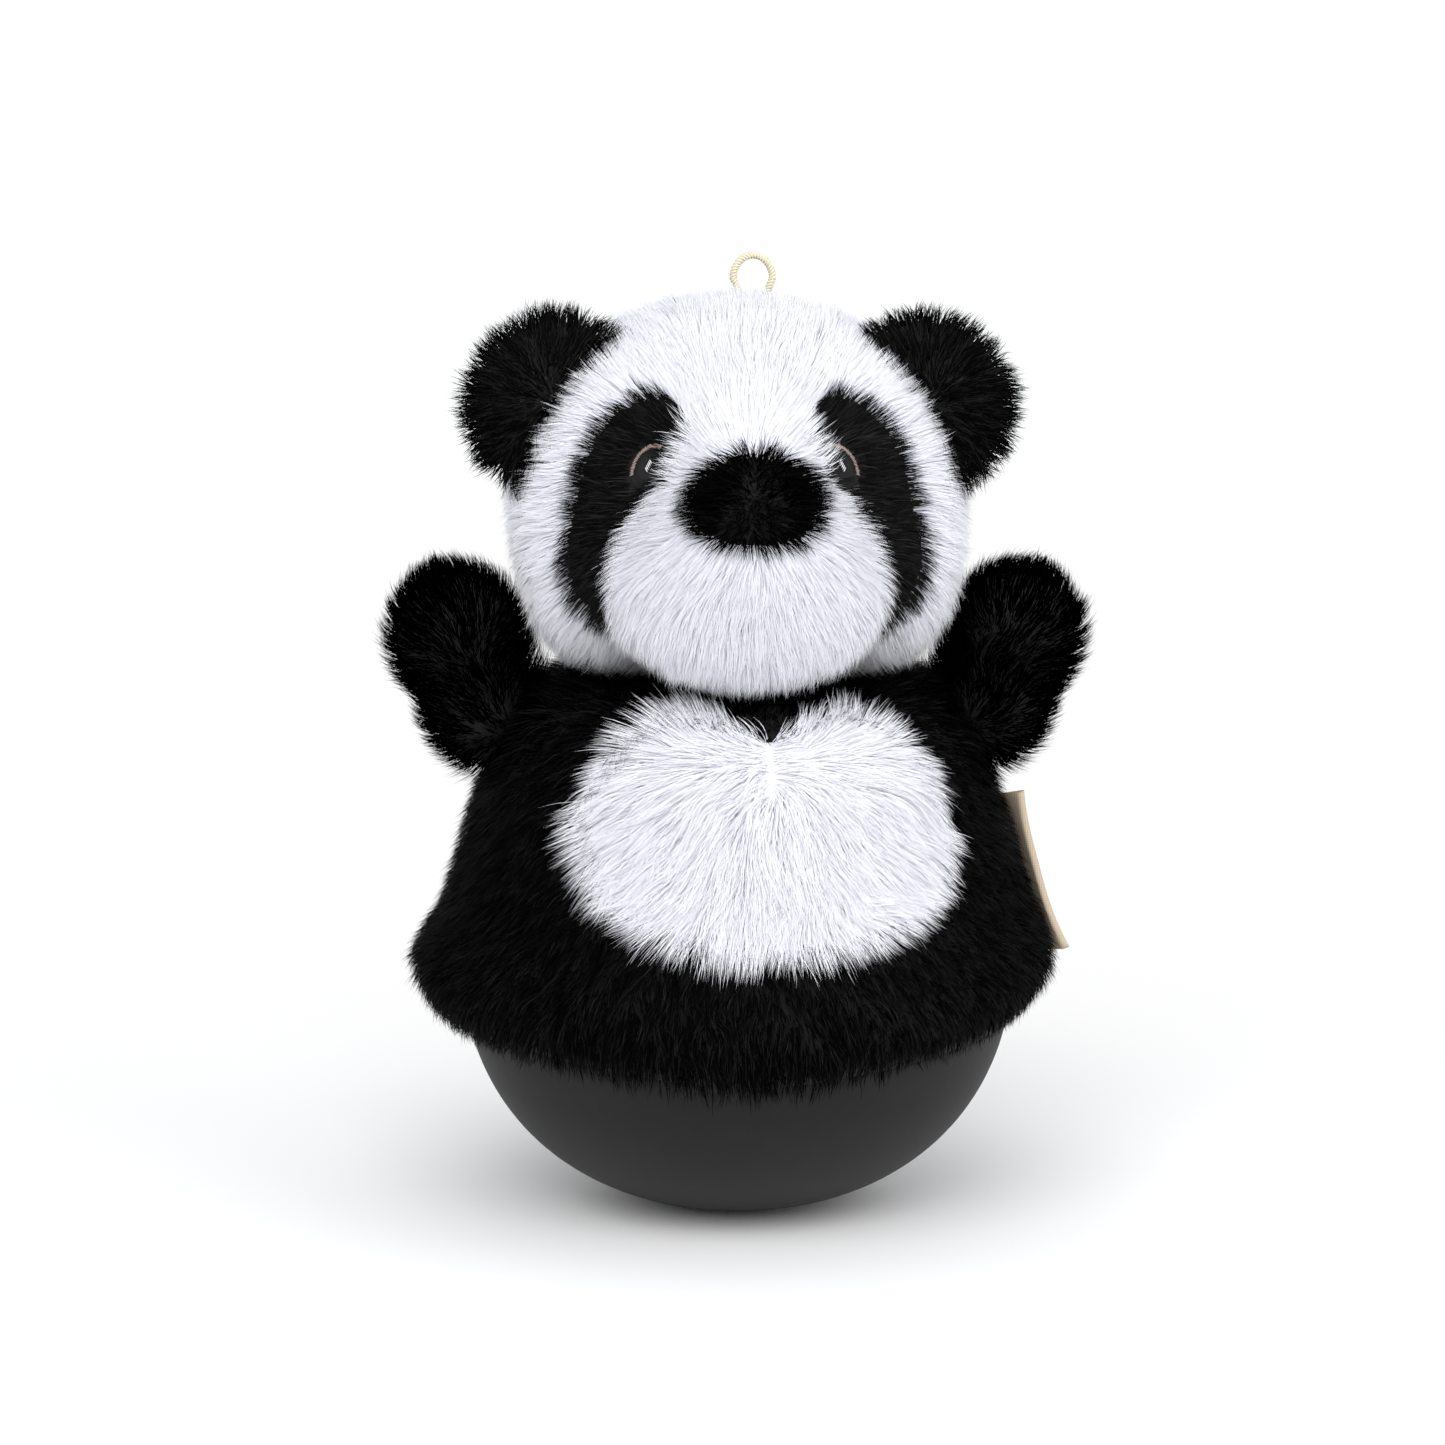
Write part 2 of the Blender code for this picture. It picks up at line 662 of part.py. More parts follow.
def ear_surface(sign, shrink, segments, rings):
    """A flattened ball: half of it is later cut away to the curve of the head."""
    bm = bmesh.new()
    bmesh.ops.create_uvsphere(bm, u_segments=segments, v_segments=rings, radius=1.0)
    size = Vector(axis - shrink for axis in EAR_SIZE)
    turn = Matrix.Rotation(sign * EAR_LEAN, 4, "Y")
    place = Matrix.Translation(mirrored(EAR_CHORD_CENTRE, sign))
    bmesh.ops.transform(bm, verts=bm.verts, matrix=place @ turn @ Matrix.Diagonal((*size, 1.0)))
    return bm


def build_ear(side, sign, holder, halves, cutters):
    outside = mesh_from(ear_surface(sign, 0.0, 20, 12), "ear")
    inside = mesh_from(ear_surface(sign, EAR_WALL, 20, 12), "ear_hollow")
    hollow = add_cutter(f"ear_hollow_{side}", inside)
    for name, half in halves.items():
        panel = add_shell(f"ear_{side}_{name}_panel", outside, hollow, half, "fur_black", holder)
        boolean(panel, "DIFFERENCE", cutters["ear_base"])
    padding_mesh = mesh_from(ear_surface(sign, EAR_WALL + 2 * GAP, 16, 8), "ear_padding")
    padding = add_piece(f"ear_{side}_padding", padding_mesh, "stuffing", holder)
    boolean(padding, "DIFFERENCE", cutters["ear_base"])


def build_loop(holder):
    """Two short legs and a half turn of cord."""
    foot = world_place(holder)
    line = [(LOOP_BEND_RADIUS, 0.0, -LOOP_LEG)]
    for i in range(13):
        turn = math.pi * i / 12
        line.append((LOOP_BEND_RADIUS * math.cos(turn), turn, LOOP_BEND_RADIUS * math.sin(turn)))
    line.append((-LOOP_BEND_RADIUS, math.pi, -LOOP_LEG))
    bm = bmesh.new()
    rings = []
    for x, lean, z in line:
        ring = []
        for side in range(10):
            turn = math.tau * side / 10
            out = LOOP_CORD_RADIUS * math.cos(turn)
            beside = LOOP_CORD_RADIUS * math.sin(turn)
            place = Vector((x + out * math.cos(lean), beside, z + out * math.sin(lean) + LOOP_LEG))
            ring.append(bm.verts.new(foot + place))
        rings.append(ring)
    for lower, upper in zip(rings, rings[1:]):
        for i in range(10):
            j = (i + 1) % 10
            bm.faces.new((lower[i], lower[j], upper[j], upper[i]))
    bm.faces.new(rings[0])
    bm.faces.new(rings[-1])
    add_piece("hanging_loop", mesh_from(bm, "loop"), "cord", holder)


def build_label(holder):
    """A ribbon folded over a hollow fold, its open edge along the side seam."""
    seam = (LABEL_BOTTOM - LABEL_TOP).normalized()
    height = (LABEL_BOTTOM - LABEL_TOP).length
    outward = Vector((math.cos(LABEL_SWEEP), math.sin(LABEL_SWEEP), 0.0))
    outward = (outward - seam * outward.dot(seam)).normalized()
    across = seam.cross(outward)
    half = LABEL_THICKNESS / 2
    fold_start = LABEL_WIDTH - half
    section = [(0.0, -half), (fold_start, -half)]
    section += fold(fold_start, half, 6)
    section += [(fold_start, half), (0.0, half)]
    section += [(0.0, half - LABEL_LAYER), (fold_start, half - LABEL_LAYER)]
    section += list(reversed(fold(fold_start, half - LABEL_LAYER, 6)))
    section += [(fold_start, -half + LABEL_LAYER), (0.0, -half + LABEL_LAYER)]
    bm = bmesh.new()
    corners = [bm.verts.new(LABEL_TOP + outward * u + across * v) for u, v in section]
    made = bmesh.ops.extrude_face_region(bm, geom=[bm.faces.new(corners)])["geom"]
    moved = [v for v in made if isinstance(v, bmesh.types.BMVert)]
    bmesh.ops.translate(bm, verts=moved, vec=seam * height)
    bmesh.ops.triangulate(bm, faces=[f for f in bm.faces if len(f.verts) > 4])
    add_piece("side_label", mesh_from(bm, "label"), "label", holder)


def fold(start, radius, steps):
    """Points of a half turn, without its two ends."""
    turns = (math.pi * i / steps - math.pi / 2 for i in range(1, steps))
    return [(start + radius * math.cos(t), radius * math.sin(t)) for t in turns]


# ---- cutters ------------------------------------------------------------------------------------


def muzzle_outline(grown):
    """An egg: round below, drawn up to the bridge of the nose above."""
    points = []
    for i in range(32):
        turn = math.tau * i / 32
        up = max(math.sin(turn), 0.0)
        width = (MUZZLE_SIZE[0] + grown) * (1.0 - 0.30 * up**1.5)
        height = (MUZZLE_TOP if up > 0 else MUZZLE_SIZE[1]) + grown
        points.append((width * math.cos(turn), MUZZLE_CENTRE[1] + height * math.sin(turn)))
    return points


def belly_outline(grown):
    """A broad oval whose top edge dips under the chin."""
    size = (BELLY_SIZE[0] + grown, BELLY_SIZE[1] + grown)
    points = []
    for x, z in oval(BELLY_CENTRE, size, 36, 2.5):
        from_middle = x - BELLY_CENTRE[0]
        up = (z - BELLY_CENTRE[1]) / size[1]
        dip = BELLY_DIP * math.exp(-((from_middle / 0.014) ** 2)) if up > 0 else 0.0
        aside = from_middle * (1.0 - BELLY_TAPER * max(up, 0.0)) - BELLY_SKEW * min(up, 0.0)
        points.append((BELLY_CENTRE[0] + aside, z - dip))
    return points


def nose_outline(grown):
    """A rounded triangle, broad side down."""
    size = (NOSE_SIZE[0] + grown, NOSE_SIZE[1] + grown)
    points = []
    for x, z in oval((0.0, 0.0), size):
        wider = 1.0 - NOSE_TAPER * z / size[1]
        points.append((NOSE_CENTRE[0] + x * wider, NOSE_CENTRE[1] + z))
    return points


def closed_through(points, steps):
    """A smooth closed curve through the points, with this many steps between each pair."""
    count = len(points)
    curve = []
    for i in range(count):
        a, b, c, d = (Vector(points[(i + k) % count]) for k in (-1, 0, 1, 2))
        for step in range(steps):
            t = step / steps
            square = 2 * a - 5 * b + 4 * c - d
            cubic = 3 * b - 3 * c + d - a
            curve.append(0.5 * (2 * b + (c - a) * t + square * t * t + cubic * t**3))
    return curve


def eye_patch_outline(grown, sign):
    curve = closed_through(EYE_PATCH_OUTLINE, 3)
    points = []
    for i, point in enumerate(curve):
        along = curve[(i + 1) % len(curve)] - curve[i - 1]
        outward = Vector((-along.y, along.x)).normalized()
        place = point + outward * grown
        points.append((sign * place.x, place.y))
    return points


def make_cutters():
    """Tools for the fur panels. An opening is larger by GAP than the panel that fills it."""
    front, patch_back, muzzle_back = -0.12, -0.016, -0.030
    made = {"arm_holes": [], "ear_base": None}
    for name, sign in (("left", 1.0), ("right", -1.0)):
        hole = ball_mesh(mirrored(SHOULDER, sign), SHOULDER_RADIUS + 2 * GAP)
        made["arm_holes"].append(add_cutter(f"arm_hole_{name}", hole))
        for kind, grown in (("eye_patch", 0.0), ("eye_opening", GAP)):
            mesh = mesh_from(prism(eye_patch_outline(grown, sign), front, patch_back), kind)
            made[f"{kind}_{name}"] = add_cutter(f"{kind}_cutter_{name}", mesh)
    for kind, grown in (("nose", 0.0), ("nose_opening", GAP)):
        mesh = mesh_from(prism(nose_outline(grown), front, -0.05), kind)
        made[kind] = add_cutter(f"{kind}_cutter", mesh)
    for kind, grown in (("muzzle", 0.0), ("muzzle_opening", GAP)):
        mesh = mesh_from(prism(muzzle_outline(grown), front, muzzle_back + grown), kind)
        made[kind] = add_cutter(f"{kind}_cutter", mesh)
    for kind, grown in (("belly", 0.0), ("belly_opening", GAP)):
        mesh = mesh_from(prism(belly_outline(grown), front, -0.02), kind)
        made[kind] = add_cutter(f"{kind}_cutter", mesh)
    neck = ball_mesh(NECK_PIVOT, NECK_RADIUS + 2 * GAP, 28)
    made["neck"] = add_cutter("neck_socket", neck)
    bm = bmesh.new()
    bmesh.ops.create_uvsphere(bm, u_segments=32, v_segments=20, radius=1.0)
    size = [axis + EAR_CLEARANCE for axis in SKULL[1]]
    placed = Matrix.Translation(SKULL[0]) @ Matrix.Diagonal((*size, 1.0))
    bmesh.ops.transform(bm, verts=bm.verts, matrix=placed)
    made["ear_base"] = add_cutter("head_clearance", mesh_from(bm, "head_clearance"))
    return made


# ---- assembly -----------------------------------------------------------------------------------


def build_panda():
    cutters = make_cutters()
    base = pivot("base")
    floor = build_ball(base)
    build_ballast(base)
    torso = pivot("cover_turn_axis", Vector(), base)
    build_body(torso, cutters)
    neck = pivot("neck_pivot", NECK_PIVOT, torso)
    build_neck(neck)
    head = pivot("head_pivot", NECK_PIVOT, neck)
    build_head(head, cutters)
    arm_halves = {
        "front": half_space("front_of_arm_seam", 0.0, True),
        "back": half_space("back_of_arm_seam", 0.0, False),
    }
    ear_halves = {
        "front": half_space("front_of_ear_seam", EAR_CHORD_CENTRE.y, True),
        "back": half_space("back_of_ear_seam", EAR_CHORD_CENTRE.y, False),
    }
    for side, sign in (("left", 1.0), ("right", -1.0)):
        arm = pivot(f"shoulder_{side}", mirrored(SHOULDER, sign), torso)
        build_arm(side, sign, arm, arm_halves)
        ear = pivot(f"ear_root_{side}", mirrored(EAR_CHORD_CENTRE, sign), head)
        build_ear(side, sign, ear, ear_halves, cutters)
    build_loop(pivot("loop_pivot", LOOP_FOOT, head))
    build_label(pivot("label_seam", LABEL_TOP, torso))
    for obj in bpy.data.objects:
        if obj.parent is None:
            obj.location.z -= floor


clear_scene()
MATERIALS = make_materials()
build_panda()
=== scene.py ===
"""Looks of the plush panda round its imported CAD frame: fur, ball, eyes, loop, label and stage."""

import json
import math

import bmesh
import bpy
import numpy as np
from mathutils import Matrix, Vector
from mathutils.bvhtree import BVHTree
from mathutils.kdtree import KDTree


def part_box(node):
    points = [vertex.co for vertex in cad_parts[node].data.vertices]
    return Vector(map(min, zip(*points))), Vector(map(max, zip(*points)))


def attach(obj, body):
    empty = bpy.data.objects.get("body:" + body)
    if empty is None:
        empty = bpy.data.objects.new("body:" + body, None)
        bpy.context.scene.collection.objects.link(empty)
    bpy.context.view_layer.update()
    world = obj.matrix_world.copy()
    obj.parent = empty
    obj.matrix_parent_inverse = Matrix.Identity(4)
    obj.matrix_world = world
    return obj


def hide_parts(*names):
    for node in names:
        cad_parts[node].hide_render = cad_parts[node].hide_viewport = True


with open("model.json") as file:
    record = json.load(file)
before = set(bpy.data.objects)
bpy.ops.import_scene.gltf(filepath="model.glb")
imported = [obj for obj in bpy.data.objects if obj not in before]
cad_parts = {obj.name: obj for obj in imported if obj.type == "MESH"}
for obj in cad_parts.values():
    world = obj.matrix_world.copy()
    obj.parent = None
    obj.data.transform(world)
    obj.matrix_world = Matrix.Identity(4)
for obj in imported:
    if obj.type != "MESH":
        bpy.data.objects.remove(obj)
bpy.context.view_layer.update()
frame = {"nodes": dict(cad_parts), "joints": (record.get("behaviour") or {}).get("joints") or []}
NODES = frame["nodes"]
JOINTS = {joint["name"]: joint for joint in frame["joints"]}
MM = 0.001
STRAND_SHARE = 1.0
MAX_STRANDS = 28000  # in one piece
TINTS = 16  # columns of the fur's texture space
SEAM_RAGGEDNESS = 0.008  # how far strands stray over a colour seam, as a share of the radius

NOSE_TIP = np.array((0.0, -0.080, 0.194))
NOSE_CROWN = np.array((0.001, -0.068, 0.1975))
BELLY_MIDDLE = 0.005
HEAD_CORE = Vector((0.0, -0.010, 0.190))
HEAD_MIDDLE = np.array((0.0, 0.004, 0.197))
HEAD_HALF_AXES = np.array((0.062, 0.053, 0.0495))
BODY_CORE = Vector((0.0, 0.0, 0.090))
NECK_RINGS = ((0.027, 0.1462), (0.018, 0.1468), (0.010, 0.1470))  # radius, height
NECK_FLAT_RADIUS = 0.016

HEM_FLARE = 0.0035
HEM_FLARE_TURN = math.radians(188)  # the hem stands out most on the panda's right
HEM_RIPPLE = 0.0008
HEM_RISE = 0.0080  # at the two sides
HEM_UNDERSIDE = ((0.0470, 0.0006), (0.0455, 0.0010))  # height, gap to the ball
HEM_LOWEST_FUR = 0.0485
ELASTIC_HEIGHT = 0.0532
ELASTIC_INNER_RADIUS = 0.0758
ELASTIC_OUTER_RADIUS = 0.0770
ELASTIC_HALF_HEIGHT = 0.0009

EAR_LEAN = math.radians(55)
EAR_SEAM_HALF_LENGTH = 0.019
EYE_CENTRE = {1.0: (0.0240, 0.2015), -1.0: (0.0250, 0.2015)}
EYE_SIZE = (0.0038, 0.0058)
EYE_LEAN = math.radians(28)

BALL_RADIUS = 0.075
BALL_HALF_HEIGHT = 0.0695
BALL_SQUARENESS = 2.2
BALL_WALL = 0.003
BALL_FLAT_CUT = 0.000377  # the outline's bottom is cut by this much to make the flat

YARN_RADIUS = 0.60 * MM
YARN_OFFSET = 0.46 * MM  # from the middle of the cord
YARN_PITCH = 2.6 * MM
LABEL_HEIGHT = 0.0450
LABEL_WIDTH = 0.0060
LABEL_SWEEP = math.radians(-52)  # turned forwards from straight out
LABEL_HALF_THICKNESS = 1.2 * MM
LABEL_LAYER = 0.55 * MM


# ---- small helpers ----


def link(obj):
    bpy.context.scene.collection.objects.link(obj)
    return obj


def unit(vectors):
    lengths = np.linalg.norm(vectors, axis=-1, keepdims=True)
    return vectors / np.maximum(lengths, 1e-12)


def flattened(vectors, normals):
    """The part of each vector that lies in its surface, at unit length."""
    along = np.sum(vectors * normals, axis=1, keepdims=True)
    return unit(vectors - normals * along)


def eased(share):
    share = np.clip(share, 0.0, 1.0)
    return share * share * (3 - 2 * share)


def rising(values, start, span):
    """0 up to start, and 1 from start + span on."""
    return np.clip((values - start) / span, 0.0, 1.0)


def falling(values, start, span):
    """1 up to start - span, and 0 from start on."""
    return np.clip((start - values) / span, 0.0, 1.0)


def mesh_from(bm, name):
    """The finished mesh, smooth, with its faces turned outwards."""
    bmesh.ops.recalc_face_normals(bm, faces=bm.faces)
    mesh = bpy.data.meshes.new(name)
    bm.to_mesh(mesh)
    bm.free()
    mesh.shade_smooth()
    return mesh


def bridged(bm, rings):
    """Quads between each ring of vertices and the next."""
    for lower, upper in zip(rings, rings[1:]):
        for k in range(len(lower)):
            j = (k + 1) % len(lower)
            bm.faces.new((lower[k], lower[j], upper[j], upper[k]))


def ring_round(bm, middle, first, second, radius, sides):
    """A ring of vertices round a point, in the plane of two unit vectors."""
    ring = []
    for k in range(sides):
        turn = math.tau * k / sides
        out = first * math.cos(turn) + second * math.sin(turn)
        ring.append(bm.verts.new(middle + out * radius))
    return ring


def closed_tube(bm, rings):
    bridged(bm, rings)
    bm.faces.new(rings[0])
    bm.faces.new(rings[-1])


def add_piece(mesh, look, body, node=None):
    """A visible piece that rides on a body, and takes a CAD node's place if one is given."""
    material, slot = look
    obj = link(bpy.data.objects.new(mesh.name, mesh))
    mesh.materials.append(material)
    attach(obj, body)
    if node:
        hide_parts(node)


def wander(points, size, seed, waves=5):
    """A smooth random vector at each point, changing over about the given size."""
    rng = np.random.default_rng(seed)
    total = np.zeros_like(points)
    for _ in range(waves):
        wave = unit(rng.normal(size=3)) * (math.tau / size) * rng.uniform(0.6, 1.4)
        push = unit(rng.normal(size=3))
        total += np.sin(points @ wave + rng.uniform(0, math.tau))[:, None] * push
    return total / math.sqrt(waves)


# ---- materials ----


def new_material(name, colour, roughness, metallic=0.0, **others):
    """A material, its shader, and its node tree's function that links two sockets."""
    material = bpy.data.materials.new(name)
    material.use_nodes = True
    shader = material.node_tree.nodes["Principled BSDF"]
    values = {"Base Color": (*colour, 1.0), "Roughness": roughness, "Metallic": metallic}
    set_inputs(shader, values | others)
    return material, shader, material.node_tree.links.new


def set_inputs(node, values):
    for name, value in values.items():
        node.inputs[name].default_value = value


def new_node(owner, kind, inputs=None, **settings):
    """A shader node of a material or world, with its inputs by name or number, and its settings."""
    node = owner.node_tree.nodes.new(f"ShaderNode{kind}")
    for name, value in settings.items():
        setattr(node, name, value)
    set_inputs(node, inputs or {})
    return node


def object_place(material):
    return new_node(material, "TexCoord").outputs["Object"]


def add_bump(material, source, strength, distance):
    link_up = material.node_tree.links.new
    bump = new_node(material, "Bump", {"Strength": strength, "Distance": distance})
    link_up(source, bump.inputs["Height"])
    link_up(bump.outputs["Normal"], material.node_tree.nodes["Principled BSDF"].inputs["Normal"])


def noise_texture(material, scale, detail=4.0, roughness=0.6):
    values = {"Scale": scale, "Detail": detail, "Roughness": roughness}
    noise = new_node(material, "TexNoise", values)
    material.node_tree.links.new(object_place(material), noise.inputs["Vector"])
    return noise.outputs["Fac"]


def colour_ramp(material, source, stops):
    """The colour at source's value, between the (position, colour) stops."""
    ramp = new_node(material, "ValToRGB")
    ends = ramp.color_ramp.elements
    for element, (position, colour) in ((ends[0], stops[0]), (ends[1], stops[-1])):
        element.position = position
        element.color = (*colour, 1.0)
    for position, colour in stops[1:-1]:
        ends.new(position).color = (*colour, 1.0)
    material.node_tree.links.new(source, ramp.inputs["Fac"])
    return ramp.outputs["Color"]


def strand_space(material):
    """The strand's own texture space: across is its tint, up is root to tip."""
    place = new_node(material, "UVMap", uv_map="OFBake")
    split = new_node(material, "SeparateXYZ")
    material.node_tree.links.new(place.outputs["UV"], split.inputs["Vector"])
    return split.outputs["X"], split.outputs["Y"]


def white_fur_material():
    """White strands in a few tints, with painted shade at the root."""
    gloss = {"Sheen Weight": 0.3, "Specular IOR Level": 0.25}
    material, shader, link_up = new_material("white_fur_looks", (0.88, 0.89, 0.93), 0.75, **gloss)
    across, up = strand_space(material)
    column = new_node(material, "Math", {1: 1.0 / TINTS}, operation="SNAP")
    link_up(across, column.inputs[0])
    tints = ((0.0, (0.865, 0.87, 0.94)), (1.0, (0.93, 0.935, 0.985)))
    # painted shade: each strand is made darker towards its root, where the pile shades itself
    painted_root_shade = ((0.0, (0.96, 0.96, 0.975)), (0.7, (1.0, 1.0, 1.0)))
    mix = new_node(material, "Mix", data_type="RGBA", blend_type="MULTIPLY")
    mix.inputs["Factor"].default_value = 1.0
    link_up(colour_ramp(material, column.outputs["Value"], tints), mix.inputs["A"])
    link_up(colour_ramp(material, up, painted_root_shade), mix.inputs["B"])
    link_up(mix.outputs["Result"], shader.inputs["Base Color"])
    return material


def black_fur_material(name, shade, gloss):
    """Near black, with a few paler strands: partly the pile's odd pale hairs, partly painted
    highlights on the pile.
    """
    colour = (shade, shade, shade * 1.2)
    gloss = {"Specular IOR Level": gloss, "Sheen Weight": 0.0}
    material, shader, link_up = new_material(name, colour, 0.42, **gloss)
    across, _ = strand_space(material)
    # painted highlights: a few strands are made paler, partly for odd pale hairs and partly for
    # glints on the pile
    dark, pale = (shade * 0.25,) * 3, (shade * 7.5,) * 3
    tints = ((0.0, dark), (0.7, dark), (1.0, pale))
    link_up(colour_ramp(material, across, tints), shader.inputs["Base Color"])
    return material


def backing_material(name, colour):
    """Knitted backing under the pile."""
    material = new_material(name, colour, 0.9)[0]
    add_bump(material, noise_texture(material, 900.0, 2.0), 0.3, 0.0004)
    return material


def ball_material():
    """Matt moulded rubber, faintly mottled, with a painted reflection of the floor: lighter towards
    the bottom.
    """
    gloss = {"Specular IOR Level": 0.24}
    material, shader, link_up = new_material("ball_looks", (0.012, 0.012, 0.0125), 0.6, **gloss)
    split = new_node(material, "SeparateXYZ")
    link_up(object_place(material), split.inputs["Vector"])
    # painted reflection of the white floor: the rubber's colour is made lighter towards the bottom,
    # added to the mottling
    heights = {"From Min": 0.036, "From Max": 0.006, "To Max": 0.75}
    painted_floor_reflection = new_node(material, "MapRange", heights)
    link_up(split.outputs["Z"], painted_floor_reflection.inputs["Value"])
    mottle_and_reflection = new_node(material, "Math", {1: 0.8}, operation="MULTIPLY_ADD")
    link_up(noise_texture(material, 26.0, 6.0, 0.7), mottle_and_reflection.inputs[0])
    link_up(painted_floor_reflection.outputs["Result"], mottle_and_reflection.inputs[2])
    stops = ((0.15, (0.0034, 0.0034, 0.0037)), (1.0, (0.0140, 0.0140, 0.0145)))
    colour = colour_ramp(material, mottle_and_reflection.outputs["Value"], stops)
    link_up(colour, shader.inputs["Base Color"])
    add_bump(material, noise_texture(material, 420.0, 5.0, 0.7), 0.12, 0.0004)
    return material


def cord_material():
    material = new_material("cord_looks", (0.70, 0.66, 0.50), 0.8)[0]
    add_bump(material, noise_texture(material, 2600.0, 3.0), 0.4, 0.0002)
    return material


def label_material():
    """Ribbon with a fine plain weave."""
    material, shader, link_up = new_material("label_looks", (0.66, 0.55, 0.42), 0.85)
    place = object_place(material)
    weave = new_node(material, "Math", operation="MULTIPLY")
    for number, direction in enumerate(("Z", "X")):
        values = {"Scale": 620.0, "Distortion": 0.6}
        wave = new_node(material, "TexWave", values, bands_direction=direction)
        link_up(place, wave.inputs["Vector"])
        link_up(wave.outputs["Fac"], weave.inputs[number])
    stops = ((0.0, (0.44, 0.35, 0.25)), (1.0, (0.70, 0.60, 0.47)))
    colour = colour_ramp(material, weave.outputs["Value"], stops)
    link_up(colour, shader.inputs["Base Color"])
    add_bump(material, weave.outputs["Value"], 0.4, 0.0002)
    return material


def plain_material(name, colour, roughness, metallic, bump_scale, bump_strength):
    material = new_material(name, colour, roughness, metallic)[0]
    add_bump(material, noise_texture(material, bump_scale), bump_strength, 0.0003)
    return material


# ---- skins under the fur ----


class Panels:
    """The CAD panels of one body, to be looked up from outside."""

    def __init__(self, names):
        self.names = names
        corners, faces, self.owners = [], [], []
        for index, name in enumerate(names):
            mesh = NODES[name].data
            base = len(corners)
            corners += [v.co.copy() for v in mesh.vertices]
            for polygon in mesh.polygons:
                faces.append([base + i for i in polygon.vertices])
                self.owners.append(index)
        self.tree = BVHTree.FromPolygons(corners, faces)

    def seen_from_outside(self, core, ways, reach=0.2):
        """Distance from core, and panel number, where each way leaves the outermost panel."""
        radii = np.full(len(ways), np.nan)
        owners = np.full(len(ways), -1)
        for i, way in enumerate(ways):
            way = Vector(way)
            place, _, face, distance = self.tree.ray_cast(core + way * reach, -way, reach)
            if place is not None:
                radii[i] = reach - distance
                owners[i] = self.owners[face]
        return radii, owners

    def nearest_to(self, point):
        return self.owners[self.tree.find_nearest(Vector(point))[2]]


def neighbour_sums(values, edges):
    """The sum of the values at each vertex's neighbours."""
    total = np.zeros(len(values))
    np.add.at(total, edges[:, 0], values[edges[:, 1]])
    np.add.at(total, edges[:, 1], values[edges[:, 0]])
    return total


def neighbour_means(values, edges, rounds):
    """Fills missing values from their neighbours on a mesh, then smooths them all."""
    values = values.copy()
    missing = np.isnan(values)
    while missing.any():
        total = neighbour_sums(np.where(missing, 0.0, values), edges)
        count = neighbour_sums(~missing, edges)
        fill = missing & (count > 0)
        values[fill] = total[fill] / count[fill]
        missing = np.isnan(values)
    count = np.maximum(neighbour_sums(np.ones(len(values)), edges), 1)
    for _ in range(rounds):
        values = values * 0.5 + 0.5 * neighbour_sums(values, edges) / count
    return values


def mesh_arrays(mesh):
    points = np.empty(len(mesh.vertices) * 3)
    mesh.vertices.foreach_get("co", points)
    normals = np.empty(len(mesh.vertices) * 3)
    mesh.vertices.foreach_get("normal", normals)
    return points.reshape(-1, 3), normals.reshape(-1, 3)


def mesh_edges(mesh):
    edges = np.empty(len(mesh.edges) * 2, dtype=np.int64)
    mesh.edges.foreach_get("vertices", edges)
    return edges.reshape(-1, 2)


def move_vertices(mesh, points):
    mesh.vertices.foreach_set("co", np.ascontiguousarray(points, dtype=np.float32).ravel())
    mesh.update()


def wrapped_ball(name, panels, core, detail, inset, rounds=6):
    """An icosphere drawn onto the panels as seen from core, smoothed, and sunk by inset."""
    bm = bmesh.new()
    bmesh.ops.create_icosphere(bm, subdivisions=detail, radius=1.0)
    mesh = bpy.data.meshes.new(name)
    bm.to_mesh(mesh)
    bm.free()
    ways, _ = mesh_arrays(mesh)
    ways = unit(ways)
    radii, _ = panels.seen_from_outside(core, ways)
    radii = neighbour_means(radii, mesh_edges(mesh), rounds)
    move_vertices(mesh, np.array(core) + ways * radii[:, None])
    points, normals = mesh_arrays(mesh)
    move_vertices(mesh, points - normals * inset)
    return mesh


def hem_rise(x, y):
    """How far the hem is drawn up, none in front and most at the sides."""
    return HEM_RISE * (np.abs(x) / np.maximum(np.hypot(x, y), 1e-9)) ** 1.2


